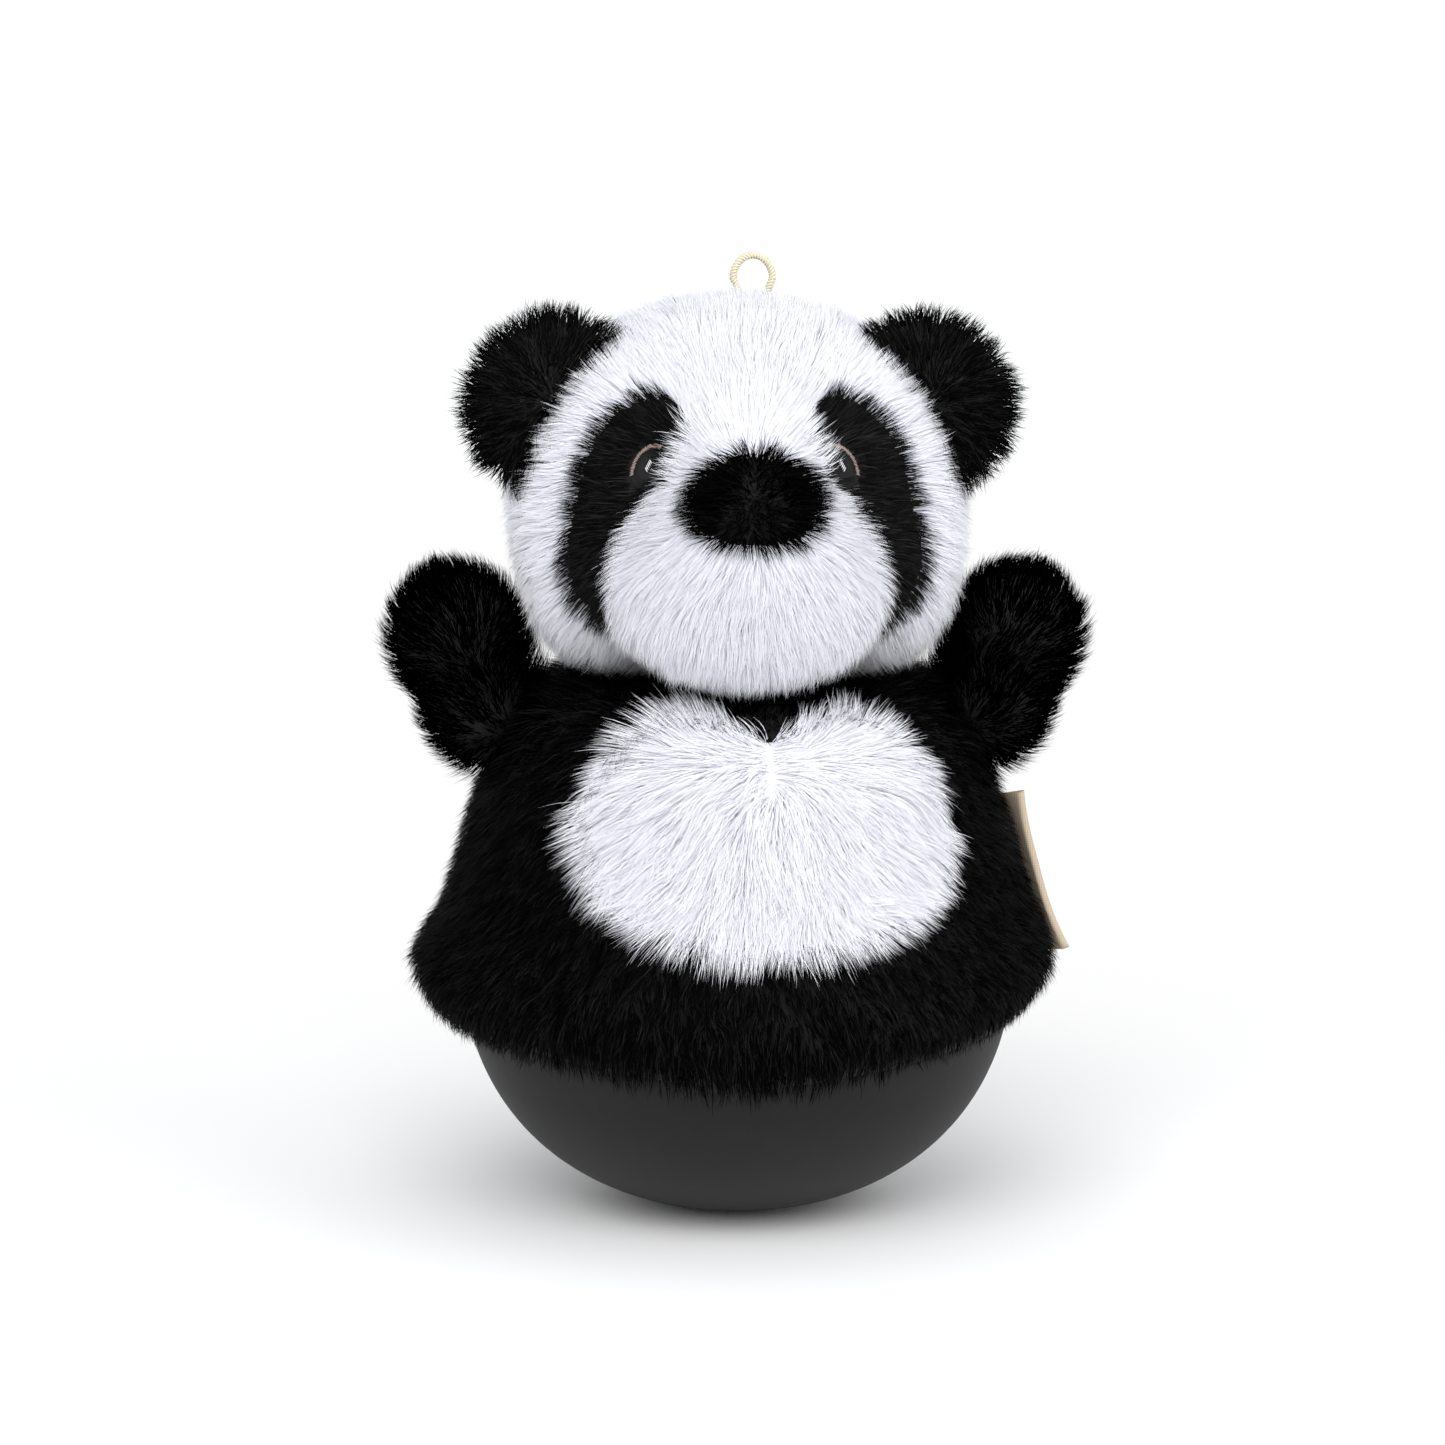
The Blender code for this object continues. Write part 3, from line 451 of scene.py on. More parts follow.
def wrapped_skirt(name, panels, core, inset, around=160, rows=64):
    """The body's skin: rings from the hem's inner edge up to the neck, open inside."""
    low, high = math.radians(-28.0), math.radians(57.0)
    ways = []
    for j in range(rows):
        rise = low + (high - low) * j / (rows - 1)
        for i in range(around):
            turn = math.tau * i / around
            level = math.cos(rise)
            ways.append((level * math.cos(turn), level * math.sin(turn), math.sin(rise)))
    ways = np.array(ways)
    radii, _ = panels.seen_from_outside(core, ways)
    grid = radii.reshape(rows, around)
    usual = np.nanmedian(grid, axis=1)[:, None]
    grid = np.where(np.isnan(grid) | (grid < usual - 0.004), usual, grid)
    for _ in range(3):
        grid[1:-1] = 0.5 * grid[1:-1] + 0.25 * (grid[:-2] + grid[2:])
    points = (np.array(core) + ways * grid.reshape(-1)[:, None]).reshape(rows, around, 3)
    turns = np.arange(around) * math.tau / around
    outwards = np.stack([np.cos(turns), np.sin(turns), np.zeros(around)], axis=1)
    flare = np.clip(np.cos(turns - HEM_FLARE_TURN), 0.0, 1.0) ** 6 * HEM_FLARE
    ripple = np.sin(5 * turns + 1.0) * 0.5 + np.sin(9 * turns + 0.4) * 0.4
    low_down = falling(points[..., 2], 0.082, 0.02)
    points += (low_down * (flare + ripple * HEM_RIPPLE))[..., None] * outwards
    raised = hem_rise(outwards[:, 0], outwards[:, 1])
    points[..., 2] += raised * eased(falling(points[..., 2], 0.088, 0.032))
    under = []
    for height, gap in HEM_UNDERSIDE:
        radii = np.array([ball_radius(height + rise) + gap for rise in raised])
        ring = outwards * radii[:, None]
        ring[:, 2] = height + raised
        under.append(ring)
    over = [outwards * radius + (0, 0, height) for radius, height in NECK_RINGS]
    points = np.concatenate([np.array(under), points, np.array(over)])
    faces = []
    for j in range(len(points) - 1):
        here, above = j * around, (j + 1) * around
        for i in range(around):
            k = (i + 1) % around
            faces.append((here + i, here + k, above + k, above + i))
    mesh = bpy.data.meshes.new(name)
    mesh.from_pydata(points.reshape(-1, 3).tolist(), [], faces)
    mesh.update()
    moved, normals = mesh_arrays(mesh)
    sink = np.full(len(moved), inset)
    sink[: len(under) * around] = 0.0
    move_vertices(mesh, moved - normals * sink[:, None])
    return mesh


def roots_on(mesh, per_mm2, seed):
    """Random points on a mesh's faces with the smooth normals there."""
    mesh.calc_loop_triangles()
    triangles = np.empty(len(mesh.loop_triangles) * 3, dtype=np.int64)
    mesh.loop_triangles.foreach_get("vertices", triangles)
    triangles = triangles.reshape(-1, 3)
    points, normals = mesh_arrays(mesh)
    a, b, c = (points[triangles[:, i]] for i in range(3))
    areas = np.linalg.norm(np.cross(b - a, c - a), axis=1) / 2
    rng = np.random.default_rng(seed)
    count = int(areas.sum() / MM**2 * per_mm2)
    chosen = rng.choice(len(areas), count, p=areas / areas.sum())
    u, v = rng.random(count), rng.random(count)
    fold = u + v > 1
    u[fold], v[fold] = 1 - u[fold], 1 - v[fold]
    weights = np.stack([1 - u - v, u, v], axis=1)
    corners = triangles[chosen]
    roots = np.einsum("nk,nkd->nd", weights, points[corners])
    ways = unit(np.einsum("nk,nkd->nd", weights, normals[corners]))
    return roots, ways


# ---- fur ----


def strand_paths(roots, normals, lay, length, style, seed):
    """Centre line of each strand: (count, steps, 3). Strands lean, bend over, and meet in tufts."""
    rng = np.random.default_rng(seed)
    count = len(roots)
    length = length * rng.normal(1.0, style["uneven"], count).clip(0.45, 1.7)
    messy = wander(roots, 9 * MM, seed + 1) * style["messy"]
    messy += wander(roots, 26 * MM, seed + 2) * style["messy"] * 0.8
    messy += rng.normal(size=(count, 3)) * style["stray"]
    lay = flattened(lay + messy, normals)
    lift = (style["lift"] + rng.normal(0.0, 0.08, count)).clip(0.15, 0.98)[:, None]
    start = unit(normals * lift + lay * (1 - lift))
    end = unit(normals * lift * style["bend"] + lay)
    steps = np.linspace(0.0, 1.0, style["steps"])[None, :, None]
    travel = start[:, None] * steps + (end - start)[:, None] * steps**2 / 2
    paths = roots[:, None] + travel * length[:, None, None]
    for per_tuft, pull in style["tufts"]:
        paths = gathered(paths, roots, per_tuft, pull, rng)
    curl = rng.normal(size=(count, 1, 3)) * style["curl"] * steps**2
    return paths + curl


def gathered(paths, roots, per_tuft, pull, rng):
    """Draws the tips of neighbouring strands towards one of them."""
    count = len(roots)
    guides = rng.choice(count, max(2, int(count / per_tuft)), replace=False)
    tree = KDTree(len(guides))
    for i, guide in enumerate(guides):
        tree.insert(roots[guide], i)
    tree.balance()
    nearest = np.array([tree.find(root)[1] for root in roots])
    steps = np.linspace(0.0, 1.0, paths.shape[1])[None, :, None]
    share = pull * rng.uniform(0.4, 1.0, count)[:, None, None]
    return paths + (paths[guides[nearest]] - paths) * share * steps**1.5


def fur_mesh(name, paths, normals, width, seed, sheen):
    """Tapered ribbons that lie along the skin, each ending in a point."""
    rng = np.random.default_rng(seed)
    count, steps, _ = paths.shape
    tangents = unit(np.gradient(paths, axis=1))
    facing = unit(normals + rng.normal(size=normals.shape) * 0.35)
    side = unit(np.cross(tangents, facing[:, None]))
    share = np.linspace(0.0, 1.0, steps)
    taper = (1.0 - share**1.6)[None, :, None]
    half = (width * rng.uniform(0.7, 1.3, count) / 2)[:, None, None] * taper
    left = (paths - side * half)[:, :-1]
    right = (paths + side * half)[:, :-1]
    body = np.stack([left, right], axis=2).reshape(count, -1, 3)
    corners = np.concatenate([body, paths[:, -1:]], axis=1)
    per_strand = 2 * (steps - 1) + 1
    last = 2 * (steps - 2)
    loops = []
    for low in range(0, last, 2):
        loops += [low, low + 1, low + 3, low + 2]
    loops = np.array(loops + [last, last + 1, last + 2])
    starts = np.arange(0, len(loops), 4)
    strands = np.arange(count)[:, None]
    vertex_indices = loops[None] + strands * per_strand
    loop_starts = starts[None] + strands * len(loops)
    mesh = bpy.data.meshes.new(name)
    mesh.vertices.add(count * per_strand)
    mesh.vertices.foreach_set("co", corners.astype(np.float32).ravel())
    mesh.loops.add(count * len(loops))
    mesh.loops.foreach_set("vertex_index", vertex_indices.astype(np.int32).ravel())
    mesh.polygons.add(count * len(starts))
    mesh.polygons.foreach_set("loop_start", loop_starts.astype(np.int32).ravel())
    mesh.update(calc_edges=True)
    tint = rng.integers(0, TINTS, count)[:, None]
    across = np.array([0.12, 0.88] * (steps - 1) + [0.5])[None]
    up = np.concatenate([np.repeat(share[:-1], 2), [1.0]])[None] * 0.96 + 0.02
    u = ((tint + across) / TINTS)[:, loops]
    v = np.broadcast_to(up, (count, per_strand))[:, loops]
    layer = mesh.uv_layers.new(name="OFBake")
    layer.data.foreach_set("uv", np.stack([u, v], axis=2).astype(np.float32).ravel())
    mesh.shade_smooth()
    flat = unit(np.cross(side, tangents))
    flat *= np.sign(np.sum(flat * normals[:, None], axis=2, keepdims=True) + 1e-9)
    soft = unit(normals[:, None] + flat * sheen + tangents * 0.30)
    shading = np.concatenate([np.repeat(soft[:, :-1], 2, axis=1), soft[:, -1:]], axis=1)
    mesh.normals_split_custom_set_from_vertices(shading.reshape(-1, 3))
    return mesh


def fur_style(per_mm2, length, width, lift, bend, **others):
    """How one kind of pile grows: length and width in mm, tufts as (strands, pull) pairs."""
    usual = dict(uneven=0.16, messy=0.28, stray=0.14, steps=5, curl=0.5 * MM, sheen=0.15)
    usual["tufts"] = ((9, 0.40), (70, 0.30))
    own = dict(per_mm2=per_mm2, length=length * MM, width=width * MM, lift=lift, bend=bend)
    return usual | own | others


SHORT_BLACK = dict(messy=0.4, tufts=((6, 0.45), (40, 0.25)), sheen=0.6)
FUR_STYLES = {
    "head": fur_style(3.0, 9.0, 0.20, 0.50, 0.42),
    "head_back": fur_style(2.2, 9.5, 0.26, 0.48, 0.40),
    "muzzle": fur_style(3.8, 8.0, 0.17, 0.42, 0.34),
    "belly": fur_style(4.6, 12.5, 0.19, 0.48, 0.30, messy=0.50, stray=0.2, sheen=0.09),
    "nose": fur_style(3.6, 7.6, 0.24, 0.68, 0.55, messy=0.45, stray=0.30, sheen=0.6),
    "patch": fur_style(3.0, 6.5, 0.24, 0.66, 0.50, **SHORT_BLACK | dict(messy=0.28)),
    "ear": fur_style(2.6, 7.5, 0.28, 0.60, 0.50, messy=0.45, stray=0.3, sheen=0.6),
    "arm": fur_style(2.2, 7.5, 0.30, 0.70, 0.60, **SHORT_BLACK),
    "body": fur_style(2.1, 7.5, 0.30, 0.66, 0.45, **SHORT_BLACK),
    "body_back": fur_style(1.6, 7.5, 0.34, 0.66, 0.45, **SHORT_BLACK),
}


def add_fur(mesh, panels, core, coats, body, seed, drop=None, longer=None):
    """Fur on a skin: the panel seen above each root picks the strand's coat and piece."""
    densest = max(FUR_STYLES[style]["per_mm2"] for style, _, _ in coats.values()) * STRAND_SHARE
    roots, normals = roots_on(mesh, densest, seed)
    rng = np.random.default_rng(seed + 9)
    ways = unit(unit(roots - np.array(core)) + rng.normal(size=roots.shape) * SEAM_RAGGEDNESS)
    _, owners = panels.seen_from_outside(core, ways)
    for i in np.flatnonzero(owners < 0):
        owners[i] = panels.nearest_to(roots[i])
    chance = rng.random(len(roots))
    for index, name in enumerate(panels.names):
        style_name, lay, look = coats[name]
        style = FUR_STYLES[style_name]
        wanted = (owners == index) & (chance < style["per_mm2"] * STRAND_SHARE / densest)
        if drop is not None:
            wanted &= ~drop(roots, normals)
        chosen, up = roots[wanted], normals[wanted]
        if not len(chosen):
            continue
        length = style["length"] * (longer(chosen) if longer else 1.0)
        width = style["width"] / math.sqrt(STRAND_SHARE)
        paths = strand_paths(chosen, up, lay(chosen, up), length, style, seed + index * 31)
        pieces = math.ceil(len(chosen) / MAX_STRANDS)
        order = np.argsort(chosen[:, 2] + 0.3 * chosen[:, 0])
        for part, pick in enumerate(np.array_split(order, pieces)):
            piece = f"{name}_fur_{part + 1}" if pieces > 1 else f"{name}_fur"
            fur = fur_mesh(piece, paths[pick], up[pick], width, seed + part, style["sheen"])
            add_piece(fur, look, body, name)


def add_skin(mesh, panels, core, coats, body, looks):
    """The backing under the fur, white or black by the panel above each face."""
    backings = [looks[BACKING_OF[coats[name][2][1]]] for name in panels.names]
    kinds = list(dict.fromkeys(backings))
    centres = np.empty(len(mesh.polygons) * 3)
    mesh.polygons.foreach_get("center", centres)
    _, owners = panels.seen_from_outside(core, unit(centres.reshape(-1, 3) - np.array(core)))
    table = [kinds.index(backing) for backing in backings]
    indices = np.array([table[max(owner, 0)] for owner in owners], dtype=np.int32)
    add_piece(mesh, kinds[0], body)
    for backing, _ in kinds[1:]:
        mesh.materials.append(backing)
    mesh.polygons.foreach_set("material_index", indices)
    mesh.shade_smooth()


# ---- lay of the fur ----


def away_from(centre):
    """A lay that runs away from a point."""
    centre = np.array(centre)

    def lay(points, normals):
        return flattened(unit(points - centre), normals)

    return lay


def head_lay(points, normals):
    """Away from the nose, falling on the cheeks and at the back."""
    ways = unit(points - NOSE_TIP)
    ways[:, 1] *= 1.0 - 0.85 * falling(points[:, 2], 0.184, 0.02)
    ways[:, 2] -= 0.45 * falling(points[:, 2], 0.215, 0.03)
    ways[:, 2] -= 0.5 * rising(points[:, 1], 0.005, 0.03)
    return flattened(ways, normals)


def body_lay(points, normals):
    """Down the skirt, and outwards and up on the shoulders."""
    ways = np.stack([points[:, 0], points[:, 1], np.zeros(len(points))], axis=1)
    ways = unit(ways) * 0.5
    high = rising(points[:, 2], 0.126, 0.012)
    aside = rising(np.abs(points[:, 0]), 0.020, 0.015)
    ways[:, 2] = -1.0 + 1.6 * high * aside
    return flattened(ways, normals)


def belly_lay(points, normals):
    """Straight down in the middle, turning outwards to the sides, and up at the two top lobes."""
    aside = points[:, 0] - BELLY_MIDDLE
    rise = rising(points[:, 2], 0.112, 0.022) ** 2
    inner, outer = rising(np.abs(aside), 0.0, 0.020), rising(np.abs(aside), 0.020, 0.020)
    low_turn = 48 * eased(np.abs(aside) / 0.034)
    high_turn = 180 - 20 * inner - 70 * outer
    turn = np.radians(low_turn * (1 - rise) + high_turn * rise) * np.sign(aside)
    ways = np.stack([np.sin(turn), np.zeros(len(points)), -np.cos(turn)], axis=1)
    return flattened(ways, normals)


def nose_lay(points, normals):
    """Up over the nose's top edge, and down and outwards below its crown."""
    ways = (points - NOSE_CROWN) * np.array((1.0, 0.3, 1.0))
    ways[:, 2] -= 0.004
    sure = np.clip(np.linalg.norm(ways, axis=1, keepdims=True) / 0.011, 0.1, 1.0)
    return flattened(unit(ways), normals) * sure


# ---- body parts ----


def build_head(looks):
    """The head's skin and fur, of six panels."""
    white, black = looks["white_fur"], looks["face_fur"]
    coats = {
        "head_cover_front": ("head", head_lay, white),
        "head_cover_back": ("head_back", head_lay, white),
        "muzzle_panel": ("muzzle", head_lay, white),
        "nose_patch": ("nose", nose_lay, looks["nose_fur"]),
        "eye_patch_left": ("patch", head_lay, black),
        "eye_patch_right": ("patch", head_lay, black),
    }
    panels = Panels(list(coats))
    mesh = wrapped_ball("head_backing", panels, HEAD_CORE, 6, 2.9 * MM)
    add_skin(mesh, panels, HEAD_CORE, coats, "head", looks)
    add_fur(mesh, panels, HEAD_CORE, coats, "head", 100, bare_on_head, head_lengths)
    return mesh


def ear_axes(side, sign):
    """The middle of an ear's seam, the way out along the ear, and the way along the seam."""
    chord = Vector(JOINTS[f"ear_{side}_flop"]["pos_m"])
    outwards = Vector((sign * math.sin(EAR_LEAN), 0.0, math.cos(EAR_LEAN)))
    along = Vector((sign * math.cos(EAR_LEAN), 0.0, -math.sin(EAR_LEAN)))
    return chord, outwards, along


def bare_on_head(roots, normals):
    """No fur where the eyes are sewn, or under the ears."""
    bare = np.zeros(len(roots), dtype=bool)
    for side, sign in (("left", 1.0), ("right", -1.0)):
        a, b = eye_shares(roots[:, 0], roots[:, 2], sign)
        bare |= (np.hypot(a, b) < 1.15) & (roots[:, 1] < 0.0)
        chord, outwards, along = (np.array(vector) for vector in ear_axes(side, sign))
        away = roots - chord
        under_ear = (away @ outwards > -0.006) & (np.abs(away @ along) < EAR_SEAM_HALF_LENGTH)
        bare |= under_ear & (np.abs(away[:, 1]) < 0.003)
    return bare


def head_lengths(roots):
    """Longer under the cheeks and the chin."""
    return 1.0 + 0.30 * falling(roots[:, 2], 0.172, 0.014)


def body_lengths(roots):
    """Longer on the shoulders, and shorter in the notch over the belly and at the hem's sides."""
    x, y, z = roots.T
    not_in_front = rising(y, -0.032, 0.016)
    in_front = 1.0 - not_in_front
    shoulder = rising(z, 0.128, 0.010) * rising(np.abs(x), 0.024, 0.012) * not_in_front
    notch = np.exp(-(((x - BELLY_MIDDLE) / 0.011) ** 2)) * in_front * rising(z, 0.120, 0.008)
    to_its_left = np.clip((x - BELLY_MIDDLE) / 0.045, -1.0, 1.0) * in_front
    hem = falling(z, 0.070, 0.010) * hem_rise(x, y) / HEM_RISE
    return 1.0 + 0.55 * shoulder - 0.45 * notch - 0.20 * to_its_left - 0.25 * hem


def build_body(looks):
    """The body cover's skin and fur, of three panels."""
    white, black = looks["white_fur"], looks["body_fur"]
    coats = {
        "body_cover_front": ("body", body_lay, black),
        "body_cover_back": ("body_back", body_lay, black),
        "belly_patch": ("belly", belly_lay, white),
    }
    panels = Panels(list(coats))
    mesh = wrapped_skirt("body_backing", panels, BODY_CORE, 3.6 * MM)
    add_skin(mesh, panels, BODY_CORE, coats, "torso", looks)
    shoulders_raised(mesh)
    add_fur(mesh, panels, BODY_CORE, coats, "torso", 200, below_or_neck, body_lengths)


def shoulders_raised(mesh):
    """The shoulders are packed up to the cheeks."""
    points, _ = mesh_arrays(mesh)
    high = rising(points[:, 2], 0.124, 0.012)
    aside = rising(np.abs(points[:, 0]), 0.026, 0.014) * rising(points[:, 1], -0.038, 0.016)
    points[:, 2] += 3.0 * MM * high * aside
    move_vertices(mesh, points)


def below_or_neck(roots, normals):
    """No fur on the underside of the hem or on the neck's flat."""
    x, y, z = roots.T
    below = (z < HEM_LOWEST_FUR + hem_rise(x, y)) & (normals[:, 2] < -0.75)
    return below | (np.hypot(x, y) < NECK_FLAT_RADIUS)


def build_arm(side, sign, looks):
    """One arm, whose fur comes out of the body's fur."""
    body = f"arm_{side}"
    shoulder = Vector(JOINTS[f"{body}_swing"]["pos_m"])
    core = Vector((sign * 0.0725, 0.0, 0.1480))
    coat = ("arm", away_from(shoulder - Vector((sign * 0.006, 0.0, 0.010))), looks["arm_fur"])
    coats = {f"{body}_front_panel": coat, f"{body}_back_panel": coat}
    panels = Panels(list(coats))
    mesh = wrapped_ball(f"{body}_backing", panels, core, 5, 2.6 * MM)
    add_skin(mesh, panels, core, coats, body, looks)

    def inside_the_body(roots, normals):
        return roots[:, 0] * sign + 0.6 * (roots[:, 2] - shoulder.z) < 0.0545

    def longer_at_the_root(roots):
        inwards = falling(roots[:, 0] * sign, 0.072, 0.014)
        low = falling(roots[:, 2], 0.158, 0.010)
        return 1.0 + 0.6 * inwards * low

    seed = 300 if sign > 0 else 340
    add_fur(mesh, panels, core, coats, body, seed, inside_the_body, longer_at_the_root)


def drawn_towards_head(mesh, chord, outwards, reach=8.5 * MM, blend=11.0 * MM):
    """Moves an ear's foot inwards, so that its fur comes out of the head's fur."""
    points, _ = mesh_arrays(mesh)
    out = (points - np.array(chord)) @ np.array(outwards)
    share = eased(falling(out, blend, blend))
    move_vertices(mesh, points - share[:, None] * np.array(outwards) * reach)


def build_ear(side, sign, looks):
    """One ear, on the head's seam."""
    body = f"ear_{side}"
    chord, outwards, _ = ear_axes(side, sign)
    core = chord + outwards * 0.013
    coat = ("ear", away_from(chord + outwards * 0.002), looks["ear_fur"])
    coats = {f"{body}_front_panel": coat, f"{body}_back_panel": coat}
    panels = Panels(list(coats))
    mesh = wrapped_ball(f"{body}_backing", panels, core, 5, 1.8 * MM, 3)
    drawn_towards_head(mesh, chord, outwards)
    add_skin(mesh, panels, core, coats, body, looks)

    def inside_the_head(roots, normals):
        shares = (roots - HEAD_MIDDLE) / (HEAD_HALF_AXES - 2.5 * MM)
        return np.linalg.norm(shares, axis=1) < 1.0

    seed = 400 if sign > 0 else 440
    add_fur(mesh, panels, core, coats, body, seed, inside_the_head)


# ---- eyes ----


def eye_shares(x, z, sign):
    """How far (x, z) is out from an eye's middle, in half axes, and the way there."""
    dx, dz = sign * x - EYE_CENTRE[sign][0], z - EYE_CENTRE[sign][1]
    across = dx * math.cos(EYE_LEAN) + dz * math.sin(EYE_LEAN)
    along = -dx * math.sin(EYE_LEAN) + dz * math.cos(EYE_LEAN)
    return across / EYE_SIZE[0], along / EYE_SIZE[1]


def eye_placer(head_mesh, sign):
    """place(a, b, outside): the point at shares a and b of an eye, that far off the head's skin."""
    points, _ = mesh_arrays(head_mesh)
    faces = [tuple(polygon.vertices) for polygon in head_mesh.polygons]
    tree = BVHTree.FromPolygons([Vector(point) for point in points], faces)
    backwards = Vector((0.0, 1.0, 0.0))

    def place(a, b, outside):
        across, along = a * EYE_SIZE[0], b * EYE_SIZE[1]
        x = EYE_CENTRE[sign][0] + across * math.cos(EYE_LEAN) - along * math.sin(EYE_LEAN)
        z = EYE_CENTRE[sign][1] + across * math.sin(EYE_LEAN) + along * math.cos(EYE_LEAN)
        found = tree.ray_cast(Vector((sign * x, -0.2, z)), backwards)[0]
        return found - backwards * outside

    return place


def thread(bm, start, end, lift, radius, sides=5, steps=5):
    """One stitch: a short tube that rises from the cloth, bridges over and goes back in."""
    along = (end - start).normalized()
    side = along.cross(lift).normalized()
    rings = []
    for i in range(steps):
        t = i / (steps - 1)
        centre = start.lerp(end, t) + lift * (math.sin(math.pi * t) ** 0.6 * radius * 1.4)
        thin = 0.35 + 0.65 * math.sin(math.pi * t) ** 0.5
        rings.append(ring_round(bm, centre, side, lift, radius * thin, sides))
    closed_tube(bm, rings)


def eye_crown(a, b):
    """How far the eye stands off the skin."""
    return 3.0 * MM + 0.9 * MM * max(0.0, 1 - a * a - b * b)


def eye_stitches(seed):
    """Stitches of each colour, each with its two ends and its radius in mm."""
    rng = np.random.default_rng(seed)
    pupil, rim, glint = [], [], []
    rows = 26
    for i in range(rows):
        b = -0.9 + 1.8 * i / (rows - 1)
        a = 0.9 * math.sqrt(max(0.0, 1 - (b / 0.95) ** 2))
        if a > 0.05:
            wobble = rng.uniform(-0.03, 0.03)
            pupil.append(((-a, b + wobble), (a, b - wobble), 0.16))
    count = 34
    for i in range(count):
        turn = math.radians(-38 + 128 * i / (count - 1))
        a, b = math.cos(turn), math.sin(turn)
        inner, outer = 0.93 + rng.uniform(-0.03, 0.03), 1.16 + rng.uniform(-0.03, 0.03)
        rim.append(((a * inner, b * inner), (a * outer, b * outer), 0.15))
    for i in range(5):
        b = -0.10 + 0.10 * i
        glint.append(((0.02, b - 0.1), (0.28, b + 0.05), 0.14))
    return {"pupil": pupil, "rim": rim, "glint": glint}


def build_eye(side, sign, head_mesh, looks):
    """Satin stitch: a black pupil, a rim round its outer half, and a pale glint, over a pad."""
    place = eye_placer(head_mesh, sign)
    lift = Vector((sign * 0.35, -0.93, 0.1)).normalized()
    for kind, stitches in eye_stitches(11 if sign > 0 else 12).items():
        over = 0.0 if kind == "pupil" else 0.5 * MM
        bm = bmesh.new()
        for start, end, radius in stitches:
            first = place(*start, eye_crown(*start) + over)
            last = place(*end, eye_crown(*end) + over)
            thread(bm, first, last, lift, radius * MM)
        mesh = mesh_from(bm, f"eye_{side}_{kind}_stitches")
        add_piece(mesh, looks[f"{kind}_thread"], "head")
    build_eye_pad(side, place, looks)


def build_eye_pad(side, place, looks, around=28):
    """The crowned filling under the stitches."""
    foot, below_stitches = 0.5 * MM, 0.1 * MM
    bm = bmesh.new()
    top = bm.verts.new(place(0, 0, eye_crown(0, 0) - below_stitches))
    bottom = bm.verts.new(place(0, 0, foot))
    ring = []
    for i in range(around):
        turn = math.tau * i / around
        ring.append((1.05 * math.cos(turn), 1.05 * math.sin(turn)))
    rows = [[bm.verts.new(place(a, b, foot)) for a, b in ring]]
    for share in (1.0, 0.5):
        row = []
        for a, b in ring:
            a, b = a * share, b * share
            row.append(bm.verts.new(place(a, b, eye_crown(a, b) - below_stitches)))
        rows.append(row)
    bridged(bm, rows)
    for i in range(around):
        j = (i + 1) % around
        bm.faces.new((rows[-1][i], rows[-1][j], top))
        bm.faces.new((rows[0][j], rows[0][i], bottom))
    add_piece(mesh_from(bm, f"eye_{side}_pad"), looks["pupil_thread"], "head", f"eye_{side}")


# ---- ball, loop, label ----


def ball_radius(height, grown=0.0):
    from_middle = abs(height - BALL_HALF_HEIGHT) / (BALL_HALF_HEIGHT + grown)
    if from_middle >= 1.0:
        return 0.0
    return (BALL_RADIUS + grown) * (1.0 - from_middle**BALL_SQUARENESS) ** (1.0 / BALL_SQUARENESS)


def ball_section(low, high, grown, steps):
    """Radius and height of points along the ball's outline between two heights."""
    half = BALL_HALF_HEIGHT + grown
    shares = [max(-1.0, min(1.0, (height - BALL_HALF_HEIGHT) / half)) for height in (low, high)]
    first, last = (math.asin(share) for share in shares)
    section = []
    for i in range(steps + 1):
        height = BALL_HALF_HEIGHT + half * math.sin(first + (last - first) * i / steps)
        section.append((ball_radius(height, grown), height))
    return section


def turned(name, section, segments=128):
    """A section of (radius, height) points turned round the upright axis."""
    bm = bmesh.new()
    verts = [bm.verts.new((radius, 0.0, height)) for radius, height in section]
    edges = [bm.edges.new(pair) for pair in zip(verts, verts[1:])]
    bmesh.ops.spin(
        bm,
        geom=verts + edges,
        axis=(0.0, 0.0, 1.0),
        cent=(0.0, 0.0, 0.0),
        angle=math.tau,
        steps=segments,
        use_merge=True,
    )
    bmesh.ops.remove_doubles(bm, verts=bm.verts, dist=1e-7)
    mesh = mesh_from(bm, name)
    mesh.set_sharp_from_angle(angle=math.radians(50))
    return mesh


def build_ball(looks):
    """Both half shells again, smoother, with the rest flat eased into the curve."""
    middle, top, cut = BALL_HALF_HEIGHT, 2 * BALL_HALF_HEIGHT, BALL_FLAT_CUT
    flat = [(0.0, 0.0), (0.0085, 0.0), (0.0102, 0.00006)]
    outside = [(r, z - cut) for r, z in ball_section(cut + 0.0002, middle, 0.0, 40) if r > 0.012]
    inside = ball_section(BALL_WALL, middle, -BALL_WALL, 24)
    section = flat + outside + [(r, z - cut) for r, z in reversed(inside)]
    section[-1] = (0.0, BALL_WALL - cut)
    add_piece(turned("ball_lower_half", section), looks["ball"], "base", "ball_bottom_shell")
    outside = ball_section(middle + 0.0003, top, 0.0, 30)
    inside = ball_section(middle + 0.0003, top - BALL_WALL, -BALL_WALL, 24)
    outside[-1], inside[-1] = (0.0, top), (0.0, top - BALL_WALL)
    section = [(r, z - cut) for r, z in list(reversed(inside)) + outside]
    add_piece(turned("ball_upper_half", section), looks["ball"], "base", "ball_top_shell")


